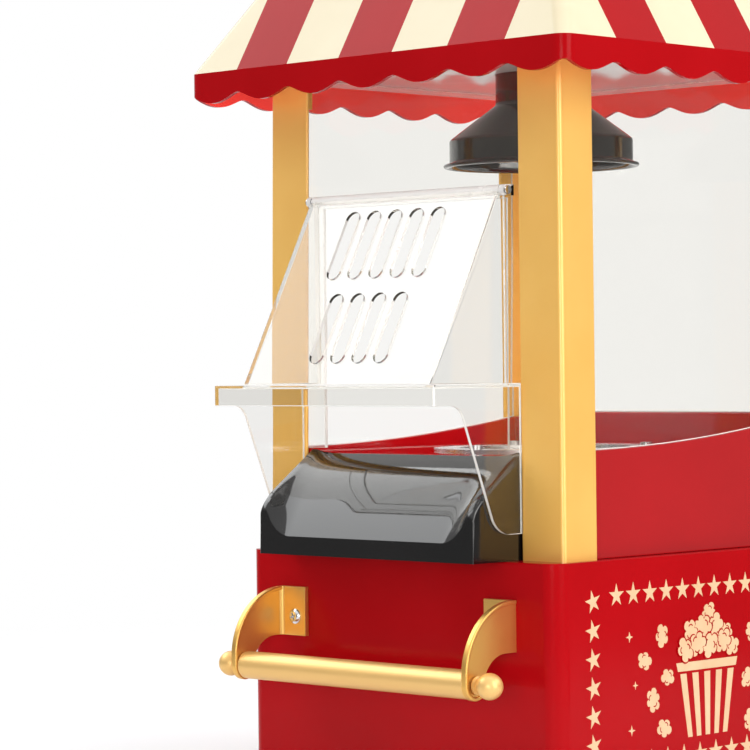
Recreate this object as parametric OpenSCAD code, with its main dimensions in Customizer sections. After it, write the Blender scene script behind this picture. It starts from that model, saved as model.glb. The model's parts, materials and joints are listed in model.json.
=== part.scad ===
/* [Base] */
// Width of the base, left to right
base_w = 206; // [196:1:230]
// Depth of the base, front to back
base_d = 219; // [210:1:240]
// Height of the ledge that the tower stands on
base_top = 115; // [100:1:140]
// Radius of the base's upright corners
base_corner_r = 9; // [4:1:14]
// Wall thickness of the base housing
base_wall = 3; // [2:0.5:4]
// Thickness of the base housing's top plate
base_deck_t = 3; // [2:0.5:5]
// Clear height of the bottom cover above the table
foot_h = 5; // [4:0.5:10]
// Thickness of the bottom cover
cover_t = 3; // [2:0.5:5]
// Diameter of a rubber foot
foot_d = 20; // [14:1:26]
// Diameter of the rubber stud that holds a foot in the cover
foot_stud_d = 7; // [5:0.5:9]
// Diameter of the air intake grille
intake_d = 104; // [70:2:120]
// Width of a slot in the air intake grille
intake_slot_w = 4; // [3:0.5:6]

/* [Tower] */
// Height of the ceiling plate's underside above the table
tower_top = 353; // [320:1:390]
// Width of the base's ledge beside the corner posts
ledge_w = 4.3; // [3:0.1:12]
// How far each post leans in over the height of the tower
tower_draw = 2.2; // [0:0.1:4]
// Width of a post's flange on the front and back
post_front_w = 26; // [20:0.1:32]
// Width of a post's flange on the sides
post_side_w = 23.7; // [18:0.1:30]
// Sheet thickness of a corner post
post_t = 2.2; // [1.5:0.1:3]
// Side of the screw block in a corner post
post_block = 13; // [11:0.5:16]
// Height of a screw block in a corner post
post_block_h = 16; // [14:1:24]
// Thickness of a window pane
pane_t = 2; // [1.5:0.1:3]
// Inset of the front pane's opening from the chute's sides
mouth_in = 10.6; // [10:0.1:20]
// Thickness of the clear ceiling plate
ceiling_t = 2; // [1.5:0.5:4]
// Inset of the ceiling plate from the roof's edge
ceiling_in = 8; // [4:0.5:12]

/* [Hopper deck] */
// Height of the deck's floor
floor_top = 163.5; // [150:0.5:175]
// Thickness of the deck's floor
floor_t = 2.5; // [2:0.5:4]
// Wall thickness of the deck
deck_wall = 2.5; // [2:0.1:3.5]
// Height of the side walls' edge at the front
deck_edge_z = 166; // [164:0.5:185]
// Radius of the side walls' rising edge
deck_edge_r = 1100; // [900:10:2000]

/* [Chute] */
// Gap between the chute and the flanges of the front posts
chute_gap = 1.1; // [0.8:0.1:6]
// Reach of the chute from the machine's axis
chute_reach = 131; // [124:0.5:140]
// Height of the chute's front lip in the middle
chute_lip_z = 124; // [120:0.5:130]
// Height of the side rims at the nose, before it is rounded
chute_nose_z = 142.5; // [138:0.5:150]
// Radius of the side rims' nose
chute_nose_r = 9; // [4:0.5:14]
// Width of a side rim at its top
chute_rim_w = 5.6; // [3:0.1:10]
// Radius of the channel's lower corners
chute_channel_r = 12; // [4:0.5:16]
// Wall thickness of the chute
chute_wall = 2.6; // [2:0.1:4]

/* [Outlet hood] */
// Height of the hood's top edge
hood_top_z = 291; // [270:1:310]
// Lap of the hood over the sides of the front pane's opening
hood_lap = 1.7; // [0.5:0.1:2.4]
// Height of the lip's upper face
hood_lip_z = 198; // [188:0.5:210]
// Depth of the lip's downward rim
hood_lip_h = 10; // [6:0.5:14]
// Reach of the slanted panel's foot from the machine's axis
hood_foot_reach = 149.5; // [140:0.5:160]
// Reach of the lip from the machine's axis
hood_reach = 158.2; // [150:0.2:170]
// Gap between the hood's lower cheeks and the chute
cheek_gap = 0.5; // [0.4:0.1:2]
// Height of the lower cheeks' bottom edge
hood_cheek_z = 127.6; // [120:0.1:140]
// Width of the lower cheeks' foot, front to back
cheek_foot = 17.3; // [14:0.1:24]
// Slope of the lower cheeks' front edge
cheek_slope = 21.7; // [14:0.1:26]
// Radius at the top of the lower cheeks' front edge
cheek_throat_r = 9; // [3:0.5:12]
// Radius at the foot of the lower cheeks' front edge
cheek_foot_r = 14; // [3:0.5:16]
// Wall thickness of the hood
hood_t = 1.5; // [1.2:0.1:2.5]
// Number of slots in the upper row
slot_count = 5; // [3:1:7]
// Distance between slots
slot_pitch = 14.3; // [12:0.1:16]
// Width of a slot
slot_w = 8.7; // [5:0.1:10]
// Length of a slot
slot_l = 37.5; // [20:0.5:40]
// Distance along the panel from the top edge to the first row
slot_start = 9; // [6:0.5:14]
// Distance along the panel between the rows
slot_row_gap = 8.2; // [6:0.1:14]
// Sideways shift of the lower row, as a share of the pitch
slot_stagger = 0.36; // [0:0.01:0.5]
// Radius of the hinge barrel along the hood's top edge
barrel_r = 2.6; // [2.2:0.1:4]
// Radius of a hood hinge pin
hinge_pin_r = 1.2; // [1:0.05:1.6]

/* [Roof] */
// Half the width of the roof
roof_half = 126; // [122:0.5:150]
// Radius of the valance's corners
roof_corner_r = 4; // [3.5:0.5:10]
// Radius of the roof's corners at its flat top
roof_top_r = 10; // [4:1:20]
// Height of the roof above its eave
roof_rise = 44; // [30:1:70]
// Half the width of the roof's flat top
roof_top_half = 100; // [96:1:110]
// Wall thickness of the roof
roof_t = 2.4; // [2:0.1:3.5]
// Scallops along each side of the valance
scallops = 7; // [5:2:11]
// Height of the valance from the eave to the notches
valance_h = 11; // [8:0.5:20]
// Depth of a scallop below the notches
scallop_h = 4.6; // [2:0.1:8]

/* [Bell and filler] */
// Radius of the bell's rim
bell_rim_r = 49.1; // [40:0.1:60]
// Radius of the bell's upright wall
bell_wall_r = 46; // [36:0.1:56]
// Height of the bell's lowest edge above the table
bell_z = 306; // [280:1:320]
// Height of the bell's rim band
bell_rim_h = 3; // [2:0.5:5]
// Height of the bell's upright wall
bell_wall_h = 12; // [6:0.5:20]
// Height of the bell's cone
bell_cone_h = 16; // [8:0.5:22]
// Outer radius of the filler neck
neck_r = 22.5; // [16:0.1:24]
// Wall thickness of the bell
bell_t = 1.8; // [1.4:0.1:3]
// Height of the filler collar on the roof
collar_h = 12; // [8:0.5:20]
// Wall thickness of the filler collar
collar_t = 6.4; // [5.5:0.1:9]
// Height of the measuring cap
cap_h = 21; // [16:0.5:40]
// Wall thickness of the measuring cap
cap_t = 2; // [1.5:0.1:3]

/* [Handle] */
// Diameter of the handle bar
bar_d = 13.5; // [8:0.1:18]
// Height of the bar's axis
bar_z = 60.4; // [50:0.1:75]
// Distance of the bar's axis from the base's front face
bar_reach = 27.8; // [24:0.1:40]
// Inset of the brackets from the base's sides
bracket_in = 24; // [16:0.5:40]
// Thickness of a bracket's side plate
bracket_t = 3.5; // [3:0.1:5]
// Height of a bracket's top above the bar's axis
bracket_h = 37.2; // [32:0.1:46]
// Radius of a bracket's outer curve
bracket_r = 33; // [20:0.5:33]
// Radius of a bracket's inner curve
bracket_inner_r = 14; // [8:0.5:15]
// Thickness of a bracket's flange
flange_t = 2.5; // [2:0.1:4]
// Width of a bracket's flange
flange_w = 19; // [17:0.5:26]
// Height of a bracket's flange
flange_h = 24.2; // [16:0.1:28]
// Radius of a bracket screw's head
bracket_head_r = 3.9; // [3:0.1:5]
// Radius of a ball end
finial_r = 6.2; // [5:0.1:9]

/* [Works] */
// Outer radius of the popping chamber
chamber_r = 44; // [36:0.5:46]
// Wall thickness of the popping chamber
chamber_t = 1.2; // [0.8:0.1:2]
// Depth of the popping chamber below the deck's floor
chamber_depth = 68; // [50:1:70]
// Number of air slots around the popping chamber
chamber_slots = 18; // [10:1:24]
// Inner radius of the heater housing
heater_r = 50; // [47:0.5:54]
// Height of the heater housing's floor
heater_z = 60; // [56:1:66]
// Height of the fan housing
fan_h = 22; // [18:1:24]
// Radius of the fan
fan_r = 41; // [30:0.5:43]
// Number of fan blades
fan_blades = 12; // [8:1:16]
// Radius of the motor
motor_r = 16; // [12:0.5:18]
// Length of the motor
motor_h = 25; // [18:0.5:26]
// Radius of the motor shaft
shaft_r = 1.6; // [1:0.05:2]
// Width of the switch's rocker
rocker_w = 13; // [10:0.5:18]
// Height of the switch's rocker
rocker_h = 19; // [14:0.5:24]
// Angle that the rocker turns between off and on
rocker_turn = 14; // [8:1:18]

/* [Fits] */
// Gap between two pieces that lie side by side
gap = 0.3; // [0.2:0.05:0.5]
// Radial running clearance of a pin or shaft in its bore
run = 0.05; // [0.02:0.01:0.1]
// Radius of a housing screw's thread
screw_r = 1.4; // [1.2:0.1:1.8]
// Radius of a housing screw's head
screw_head_r = 3; // [2.6:0.1:4]
// Height of a housing screw's head
screw_head_h = 2.2; // [1.6:0.1:3]

/* [Hidden] */
$fn = 64;
e = 0.01;

// the machine's axis stands behind the middle of the box, because the hood reaches further than the roof
axis_y = (hood_reach - roof_half) / 2;
front_y = -base_d / 2;
back_y = base_d / 2;
post_half = base_w / 2 - ledge_w;
chute_half = post_half - post_front_w - chute_gap;
mouth_half = chute_half - mouth_in;
hood_half = mouth_half + hood_lap;
hood_cheek_half = chute_half + cheek_gap + hood_t;
ceiling_half = roof_half - ceiling_in;
bracket_half = base_w / 2 - bracket_in;
lean = atan(tower_draw / (tower_top - base_top));
cover_z = foot_h + cover_t;
pane_half = post_half - post_t - gap;
edge_climb = 2 * post_half * post_half / deck_edge_r;
deck_half = pane_half - tower_draw * (deck_edge_z + edge_climb - base_top) / (tower_top - base_top);
block_in = post_half - post_t - post_block;
notch_half = block_in - gap;
pane_side = notch_half - tower_draw;
post_hole = post_half - post_t - post_block / 2;
deck_bore = deck_half - deck_wall - 3.5;
deck_open_half = deck_bore - 10;
thread_r = screw_r + run;
pass_r = screw_r + 0.4;
screw_grip = 12;
boss_depth = 9;
floor_low = floor_top - floor_t;
eave_z = tower_top + ceiling_t;
roof_top_z = eave_z + roof_rise;
scallop_w = 2 * roof_half / scallops;
scallop_arc = (scallop_w * scallop_w / 4 + scallop_h * scallop_h) / (2 * scallop_h);
neck_top = roof_top_z - roof_t;
collar_in = neck_r + 1.5;
collar_out = collar_in + collar_t;
bell_screw_r = collar_in + collar_t / 2;
bell_flange_t = 2;
bell_grip = 9;
cap_in = collar_out + 0.5;
pivot_y = -(post_half + 0.6);
pivot_z = hood_top_z - barrel_r;
cheek_back = post_half + 0.5;
ear_t = 3;
chamber_floor_z = floor_top - chamber_depth;
flange_r = chamber_r + 12;
chamber_screw_r = chamber_r + 7.5;
boss_h = 11;
heater_top = floor_low - boss_h;
heater_wall = 2;
heater_rim = heater_r + 14;
housing_screw_r = heater_r + 10;
fan_flange_r = heater_r + 10;
fan_screw_r = heater_r + 5.5;
fan_z = heater_z - fan_h;
fan_wall = 2;
bracket_plate_z = fan_z - 2;
motor_z = bracket_plate_z - motor_h;
bar_y = front_y - bar_reach;
bracket_top = bar_z + bracket_h;
flange_low = bracket_top - flange_h;
boss_r = bar_d / 2 + 0.6;
bracket_screw_x = bracket_half - flange_w + 7;
bracket_screw_z = bracket_top - flange_h / 2 - 2.6;
stud_r = 2.5;
finial_x = bracket_half + finial_r + 1.5;
switch_x = base_w / 2 - 48;
switch_z = 62;
gland_x = -base_w / 2 + 43;
gland_z = 34;
gland_r = 6;
gland_bore_r = 3.5;
cover_boss_in = 8;
cover_boss_x = base_w / 2 - base_wall - cover_boss_in;
cover_boss_y = base_d / 2 - base_wall - cover_boss_in;
cover_boss_h = 30;
boss_screw_r = 4;
foot_x = base_w / 2 - base_wall - 22;
foot_y = base_d / 2 - base_wall - 22;
board_x = -base_w / 2 + base_wall + 30;
board_y = 42;
board_w = 42;
board_d = 28;
board_t = 1.6;
standoff_h = 4;
block_y = -30;
block_w = 16;
block_d = 40;
block_h = 12;

red = "#c1121c";
gold = "#d9ab5c";
clear = [0.93, 0.95, 0.95, 0.35];
black = "#1b1a1a";
steel = "#b9bcc0";

// ---- shared shapes ----
module on_axis() {
    translate([0, axis_y, 0]) children();
}

module at_corner(sx, sy) {
    mirror([sx < 0 ? 1 : 0, 0, 0]) mirror([0, sy < 0 ? 1 : 0, 0]) children();
}

module four(x, y) {
    for (sx = [-1, 1], sy = [-1, 1]) translate([sx * x, sy * y, 0]) children();
}

module ring_of(n, r, start = 0) {
    for (i = [0:n - 1]) rotate([0, 0, start + i * 360 / n]) translate([r, 0, 0]) children();
}

module rounded_plan(w, d, r) {
    square([w - 2 * r, d], center = true);
    square([w, d - 2 * r], center = true);
    four(w / 2 - r, d / 2 - r) circle(r);
}

module rounded_block(w, d, h, r) {
    linear_extrude(h) rounded_plan(w, d, r);
}

module tube(r_out, r_in, h) {
    difference() {
        cylinder(r = r_out, h = h);
        translate([0, 0, -1]) cylinder(r = r_in, h = h + 2);
    }
}

function unit(v) = v / norm(v);

// points of an arc that rounds the corner b between its neighbours a and c
function round_corner(a, b, c, r, steps = 8) =
    let (
        u = unit(a - b), v = unit(c - b), half = acos(u * v) / 2,
        centre = b + unit(u + v) * r / sin(half),
        from = unit(b + u * r / tan(half) - centre), to = unit(b + v * r / tan(half) - centre),
        sweep = acos(from * to), side = from[0] * to[1] - from[1] * to[0] > 0 ? 1 : -1
    )
    [for (i = [0:steps])
        let (t = side * sweep * i / steps)
        centre + r * [from[0] * cos(t) - from[1] * sin(t), from[0] * sin(t) + from[1] * cos(t)]];

// a pan head screw: its head hangs below z = 0 and its thread stands up from it
module screw(grip, head_r = screw_head_r) {
    difference() {
        union() {
            cylinder(r = screw_r, h = grip);
            translate([0, 0, -screw_head_h]) cylinder(r = head_r, h = screw_head_h);
        }
        for (a = [0, 90]) {
            rotate([0, 0, a]) translate([-head_r * 0.6, -0.4, -screw_head_h - 1])
                cube([head_r * 1.2, 0.8, 2]);
        }
    }
}

// extrudes an outline drawn as depth and height across the machine's width
module across(x_low, x_high) {
    translate([x_low, 0, 0]) rotate([90, 0, 90]) linear_extrude(x_high - x_low) children();
}

// everything under the hopper's rising edge, as depth and height
module under_edge(raise = 0) {
    difference() {
        translate([-roof_half, 0]) square([2 * roof_half, deck_edge_z + 60]);
        translate([-deck_half + 12, deck_edge_z + deck_edge_r + raise])
            circle(r = deck_edge_r, $fn = 720);
    }
}

// ---- base ----
module base_housing() {
    color(red) on_axis() difference() {
        union() {
            difference() {
                translate([0, 0, foot_h])
                    rounded_block(base_w, base_d, base_top - foot_h, base_corner_r);
                translate([0, 0, foot_h - 1])
                    rounded_block(base_w - 2 * base_wall, base_d - 2 * base_wall,
                        base_top - base_deck_t - foot_h + 1, max(1, base_corner_r - base_wall));
                translate([-deck_open_half, -deck_open_half, base_top - base_deck_t - 1])
                    cube([2 * deck_open_half, 2 * deck_open_half, base_deck_t + 2]);
            }
            four(cover_boss_x, cover_boss_y) translate([0, 0, cover_z])
                cylinder(r = boss_screw_r + 0.5, h = cover_boss_h);
            for (sx = [-1, 1], sy = [-1, 1]) {
                at_corner(sx, sy) translate([cover_boss_x, cover_boss_y - 1, cover_z])
                    cube([cover_boss_in + base_wall / 2, 2, cover_boss_h]);
            }
            for (s = [-1, 1]) {
                translate([s * bracket_screw_x, front_y + base_wall - e, bracket_screw_z])
                    rotate([-90, 0, 0]) cylinder(r = boss_screw_r + 0.5, h = boss_depth);
            }
        }
        four(cover_boss_x, cover_boss_y) translate([0, 0, cover_z - 1])
            cylinder(r = thread_r, h = cover_boss_h - 6);
        four(post_hole, post_hole)
            translate([0, 0, base_top - base_deck_t - 1]) cylinder(r = pass_r, h = base_deck_t + 2);
        ring_of(4, deck_bore)
            translate([0, 0, base_top - base_deck_t - 1]) cylinder(r = pass_r, h = base_deck_t + 2);
        for (s = [-1, 1]) {
            translate([s * bracket_screw_x, front_y - 1, bracket_screw_z])
                rotate([-90, 0, 0]) cylinder(r = thread_r, h = base_wall + boss_depth);
        }
        translate([switch_x - rocker_w / 2 - 3, back_y - base_wall - 1, switch_z - rocker_h / 2 - 3])
            cube([rocker_w + 6, base_wall + 2, rocker_h + 6]);
        translate([gland_x, back_y - base_wall - 1, gland_z])
            rotate([-90, 0, 0]) cylinder(r = gland_r + run, h = base_wall + 2);
    }
}

module bottom_cover() {
    slots = floor(intake_d / (2 * intake_slot_w));
    color(black) on_axis() difference() {
        union() {
            translate([0, 0, foot_h])
                rounded_block(base_w - 2 * base_wall - 2 * gap, base_d - 2 * base_wall - 2 * gap,
                    cover_t, max(1, base_corner_r - base_wall - gap));
            translate([board_x, board_y, cover_z - e]) four(board_w / 2 - 4, board_d / 2 - 4)
                cylinder(r = 3, h = standoff_h + e);
        }
        four(cover_boss_x, cover_boss_y) translate([0, 0, foot_h - 1]) cylinder(r = pass_r, h = cover_t + 2);
        four(foot_x, foot_y)
            translate([0, 0, foot_h - 1]) cylinder(r = foot_stud_d / 2 + run, h = cover_t + 2);
        intersection() {
            translate([0, 0, foot_h - 1]) cylinder(r = intake_d / 2, h = cover_t + 2);
            for (i = [-(slots - 1) / 2:(slots - 1) / 2], s = [-1, 1]) {
                translate([i * 2 * intake_slot_w - intake_slot_w / 2, s > 0 ? 2.5 : -intake_d / 2 - 2,
                    foot_h - 1]) cube([intake_slot_w, intake_d / 2 - 0.5, cover_t + 2]);
            }
        }
    }
}

module rubber_feet() {
    color(black) on_axis() four(foot_x, foot_y) {
        cylinder(r1 = foot_d / 2 - 1, r2 = foot_d / 2, h = foot_h);
        cylinder(r = foot_stud_d / 2, h = cover_z + 2);
        translate([0, 0, cover_z]) cylinder(r = foot_stud_d / 2 + 1.2, h = 2);
    }
}

module cover_screws() {
    color(steel) on_axis() four(cover_boss_x, cover_boss_y)
        translate([0, 0, foot_h]) screw(cover_t + screw_grip);
}

module cord_gland() {
    color(black) on_axis() translate([gland_x, back_y, gland_z]) rotate([90, 0, 0]) difference() {
        union() {
            translate([0, 0, -3]) cylinder(r1 = gland_r + 1.5, r2 = gland_r + 3, h = 3);
            cylinder(r = gland_r, h = base_wall + 9);
        }
        translate([0, 0, -4]) cylinder(r = gland_bore_r, h = base_wall + 14);
    }
}

module gland_nut() {
    color(black) on_axis() translate([gland_x, back_y - base_wall, gland_z]) rotate([90, 0, 0])
        difference() {
            cylinder(r = gland_r + 4, h = 5, $fn = 6);
            translate([0, 0, -1]) cylinder(r = gland_r + run, h = 7);
        }
}

// ---- switch, in the back wall ----
rocker_pin_y = back_y - 1.5;
rocker_r = rocker_h / 2;

module switch_frame() {
    color(black) on_axis() difference() {
        union() {
            translate([switch_x - rocker_w / 2 - 5, back_y, switch_z - rocker_h / 2 - 5])
                cube([rocker_w + 10, 2, rocker_h + 10]);
            translate([switch_x - rocker_w / 2 - 3 + gap, back_y - 16, switch_z - rocker_h / 2 - 3 + gap])
                cube([rocker_w + 6 - 2 * gap, 16 + e, rocker_h + 6 - 2 * gap]);
            for (s = [-1, 1]) {
                translate([switch_x - 3, back_y - 22, switch_z + s * 5 - 0.4]) cube([6, 7, 0.8]);
            }
        }
        translate([switch_x - rocker_w / 2 - gap, back_y - 13, switch_z - rocker_h / 2 - gap])
            cube([rocker_w + 2 * gap, 20, rocker_h + 2 * gap]);
        translate([switch_x - rocker_w / 2 - 2, rocker_pin_y, switch_z])
            rotate([0, 90, 0]) cylinder(r = 1.2 + run, h = rocker_w + 4);
    }
}

module switch_rocker() {
    color(black) on_axis() translate([switch_x, rocker_pin_y, switch_z]) {
        rotate([0, 90, 0]) translate([0, 0, -rocker_w / 2 - 1.8]) cylinder(r = 1.2, h = rocker_w + 3.6);
        intersection() {
            rotate([0, 90, 0]) translate([0, 0, -rocker_w / 2]) cylinder(r = rocker_r, h = rocker_w);
            translate([-rocker_w / 2, 0, 0]) rotate([90, 0, 90]) linear_extrude(rocker_w)
                polygon([
                    [-3, -rocker_r], [-3, rocker_r],
                    [4 - rocker_r * sin(rocker_turn), rocker_r], [4.5, 0], [5, -rocker_r]
                ]);
        }
    }
}

// ---- hopper deck ----
module deck_plan(inset) {
    square([2 * (deck_half - inset), 2 * (notch_half - inset)], center = true);
    square([2 * (notch_half - inset), 2 * (deck_half - inset)], center = true);
}

module hopper_deck() {
    color(red) on_axis() difference() {
        union() {
            intersection() {
                translate([0, 0, base_top]) linear_extrude(90) difference() {
                    deck_plan(0);
                    deck_plan(deck_wall);
                }
                across(-roof_half, roof_half) under_edge();
            }
            translate([0, 0, floor_low]) linear_extrude(floor_t) deck_plan(deck_wall - e);
            ring_of(4, deck_bore) translate([0, 0, base_top]) cylinder(r = boss_screw_r, h = post_block_h);
            ring_of(3, chamber_screw_r, 30) translate([0, 0, heater_top])
                cylinder(r = boss_screw_r, h = boss_h + e);
            ring_of(4, housing_screw_r, 45) translate([0, 0, heater_top])
                cylinder(r = boss_screw_r, h = boss_h + e);
        }
        translate([-chute_half, -deck_half - 1, floor_top]) cube([2 * chute_half, deck_wall + 2, 60]);
        translate([0, 0, floor_low - 1]) cylinder(r = chamber_r + 0.4, h = floor_t + 2);
        ring_of(4, deck_bore) translate([0, 0, base_top - 1]) cylinder(r = thread_r, h = screw_grip + 2);
        ring_of(3, chamber_screw_r, 30)
            translate([0, 0, heater_top + 1]) cylinder(r = thread_r, h = boss_h + floor_t + 1);
        ring_of(4, housing_screw_r, 45)
            translate([0, 0, heater_top - 1]) cylinder(r = thread_r, h = boss_h);
        for (s = [-1, 1]) {
            translate([s * chute_screw_x, -deck_half - 1, chute_screw_z])
                rotate([-90, 0, 0]) cylinder(r = pass_r, h = deck_wall + 2);
        }
    }
}

module deck_screws() {
    color(steel) on_axis() ring_of(4, deck_bore)
        translate([0, 0, base_top - base_deck_t]) screw(base_deck_t + screw_grip);
}

// ---- popcorn chute ----
chute_screw_x = 40;
chute_screw_z = base_top + 16;
channel_angle = atan((floor_top - chute_lip_z) / (chute_reach - deck_half));
rim_top_z = deck_edge_z - 0.7;

// the side view of the chute: the rim runs down and turns over a round nose
module chute_side() {
    low = [-chute_reach, base_top];
    top = [-deck_half, rim_top_z];
    polygon(concat(
        [[-deck_half, base_top], low],
        round_corner(low, [-chute_reach, chute_nose_z], top, chute_nose_r),
        [top]
    ));
}

module channel_section() {
    half = chute_half - chute_rim_w;
    flat_half = half - chute_channel_r;
    translate([-flat_half, 0]) square([2 * flat_half, 60]);
    translate([-half, chute_channel_r]) square([2 * half, 60]);
    for (s = [-1, 1]) translate([s * flat_half, chute_channel_r]) circle(chute_channel_r);
}

module popcorn_chute() {
    hollow_half = chute_half - chute_rim_w - chute_channel_r;
    run_l = chute_reach - deck_half;
    color(black) on_axis() difference() {
        union() {
            difference() {
                across(-chute_half, chute_half) chute_side();
                translate([0, -deck_half, floor_top]) rotate([channel_angle, 0, 0])
                    translate([0, 30, 0]) rotate([90, 0, 0]) linear_extrude(110) channel_section();
                across(-hollow_half, hollow_half) polygon([
                    [-deck_half + e, base_top + chute_wall],
                    [-chute_reach + chute_wall * 2, base_top + chute_wall],
                    [-chute_reach + chute_wall * 2, chute_lip_z - chute_wall * 1.5],
                    [-deck_half + e, floor_top - chute_wall * 1.6]
                ]);
            }
            for (s = [-1, 1]) {
                translate([s * chute_screw_x, -deck_half, chute_screw_z])
                    rotate([90, 0, 0]) cylinder(r = boss_screw_r, h = screw_grip);
                translate([s * chute_screw_x - 1, -deck_half - screw_grip, base_top + 1])
                    cube([2, screw_grip, chute_screw_z - base_top - 3]);
            }
        }
        for (s = [-1, 1]) {
            translate([s * chute_screw_x, -deck_half + 1, chute_screw_z])
                rotate([90, 0, 0]) cylinder(r = thread_r, h = screw_grip);
        }
    }
}

module chute_screws() {
    color(steel) on_axis() for (s = [-1, 1]) {
        translate([s * chute_screw_x, -deck_half + deck_wall, chute_screw_z])
            rotate([90, 0, 0]) screw(deck_wall + screw_grip - 2);
    }
}

// ---- tower ----
module corner_post(sx, sy) {
    on_axis() at_corner(sx, sy) difference() {
        intersection() {
            translate([post_half, post_half, base_top]) rotate([lean, -lean, 0])
                translate([0, 0, -5]) {
                    linear_extrude(tower_top - base_top + 10) {
                        translate([-post_front_w, -post_t]) square([post_front_w - post_t, post_t]);
                        translate([-post_t, -post_side_w]) square([post_t, post_side_w - post_t]);
                        translate([-post_t, -post_t]) circle(post_t);
                    }
                    for (z = [0, tower_top - base_top - post_block_h + 5]) {
                        translate([-post_t - post_block, -post_t - post_block, z])
                            cube([post_block + post_t / 2, post_block + post_t / 2, post_block_h + 5]);
                    }
                }
            translate([0, 0, base_top]) cube([post_half + 5, post_half + 5, tower_top - base_top]);
        }
        translate([post_hole, post_hole, base_top - 1]) cylinder(r = thread_r, h = screw_grip + 2);
        translate([post_hole - tower_draw, post_hole - tower_draw, 0]) {
            translate([0, 0, tower_top - post_block_h - 1]) cylinder(r = pass_r, h = post_block_h + 2);
            translate([0, 0, tower_top - post_block_h - 1]) cylinder(r = screw_head_r + gap, h = 1);
        }
    }
}

module post_front_left() color(gold) corner_post(-1, -1);
module post_front_right() color(gold) corner_post(1, -1);
module post_back_left() color(gold) corner_post(-1, 1);
module post_back_right() color(gold) corner_post(1, 1);

module post_screws() {
    color(steel) on_axis() four(post_hole, post_hole)
        translate([0, 0, base_top - base_deck_t]) screw(base_deck_t + screw_grip);
}

module roof_screws() {
    at = post_hole - tower_draw;
    color(steel) on_axis() four(at, at) translate([0, 0, tower_top - post_block_h])
        screw(post_block_h + ceiling_t + screw_grip);
}

// a flat pane that leans with the posts, drawn for the front side
module pane(half) {
    intersection() {
        translate([0, -pane_half, base_top]) rotate([-lean, 0, 0])
            translate([-half, 0, 0]) cube([2 * half, pane_t, tower_top]);
        translate([-half - 1, -roof_half, base_top])
            cube([2 * half + 2, roof_half, tower_top - base_top - gap]);
    }
}

module side_pane(turn) {
    on_axis() difference() {
        rotate([0, 0, turn]) pane(pane_side);
        across(-roof_half, roof_half) under_edge(gap / 2);
    }
}

module window_right() color(clear) side_pane(90);
module window_left() color(clear) side_pane(-90);
module window_back() color(clear) side_pane(180);

// the front pane is an arch round the mouth, with an ear for each hood pin
module window_front() {
    ear_x = hood_half + gap * 2;
    color(clear) on_axis() difference() {
        union() {
            difference() {
                pane(pane_side);
                translate([-mouth_half, -roof_half, 0])
                    cube([2 * mouth_half, roof_half, pivot_z - barrel_r - 1]);
                across(-roof_half, roof_half) under_edge(gap / 2);
            }
            for (s = [-1, 1]) {
                translate([s > 0 ? ear_x : -ear_x - ear_t, pivot_y, pivot_z - barrel_r])
                    cube([ear_t, -pane_half + 3 - pivot_y, 2 * barrel_r]);
                translate([s > 0 ? ear_x : -ear_x - ear_t, pivot_y, pivot_z])
                    rotate([0, 90, 0]) cylinder(r = barrel_r, h = ear_t);
            }
        }
        translate([-roof_half, pivot_y, pivot_z]) rotate([0, 90, 0])
            cylinder(r = hinge_pin_r, h = 2 * roof_half);
    }
}

module hood_hinge_pins() {
    ear_x = hood_half + gap * 2;
    color(black) on_axis() for (s = [0, 1]) mirror([s, 0, 0]) translate([0, pivot_y, pivot_z])
        rotate([0, 90, 0]) {
            translate([0, 0, hood_half - 5 + gap])
                cylinder(r = hinge_pin_r, h = ear_x + ear_t - hood_half + 5 - gap);
            translate([0, 0, ear_x + ear_t]) cylinder(r = hinge_pin_r + 0.9, h = 1);
        }
}

module ceiling_plate() {
    at = post_hole - tower_draw;
    color(clear) on_axis() translate([0, 0, tower_top]) difference() {
        rounded_block(2 * ceiling_half, 2 * ceiling_half, ceiling_t, roof_corner_r);
        translate([0, 0, -1]) cylinder(r = neck_r + gap, h = ceiling_t + 2);
        four(at, at) translate([0, 0, -1]) cylinder(r = pass_r, h = ceiling_t + 2);
    }
}

// ---- outlet hood ----
panel_angle = atan((hood_foot_reach + pivot_y - barrel_r + 1) / (hood_top_z - hood_lip_z));
panel_len = (hood_top_z - hood_lip_z) / cos(panel_angle);

module cheek_outline() {
    lip_low = hood_lip_z - hood_lip_h;
    neck_y = cheek_back + cheek_foot;
    slope_y = neck_y + (lip_low - hood_cheek_z) * tan(cheek_slope);
    back = [-cheek_back, hood_cheek_z];
    foot = [-neck_y, hood_cheek_z];
    throat = [-slope_y, lip_low];
    tip = [-hood_reach, lip_low];
    polygon(concat(
        [[-cheek_back, hood_lip_z], [-hood_reach, hood_lip_z], tip],
        round_corner(tip, throat, foot, cheek_throat_r),
        round_corner(throat, foot, back, cheek_foot_r),
        [back]
    ));
}

module slot_row(count, shift) {
    for (i = [0:count - 1]) {
        translate([(i - (count - 1) / 2) * slot_pitch + shift, 0, 0]) {
            translate([0, slot_l / 2 - slot_w / 2, 0]) cylinder(r = slot_w / 2, h = 10);
            translate([0, -slot_l / 2 + slot_w / 2, 0]) cylinder(r = slot_w / 2, h = 10);
            translate([-slot_w / 2, -slot_l / 2 + slot_w / 2, 0]) cube([slot_w, slot_l - slot_w, 10]);
        }
    }
}

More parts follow.
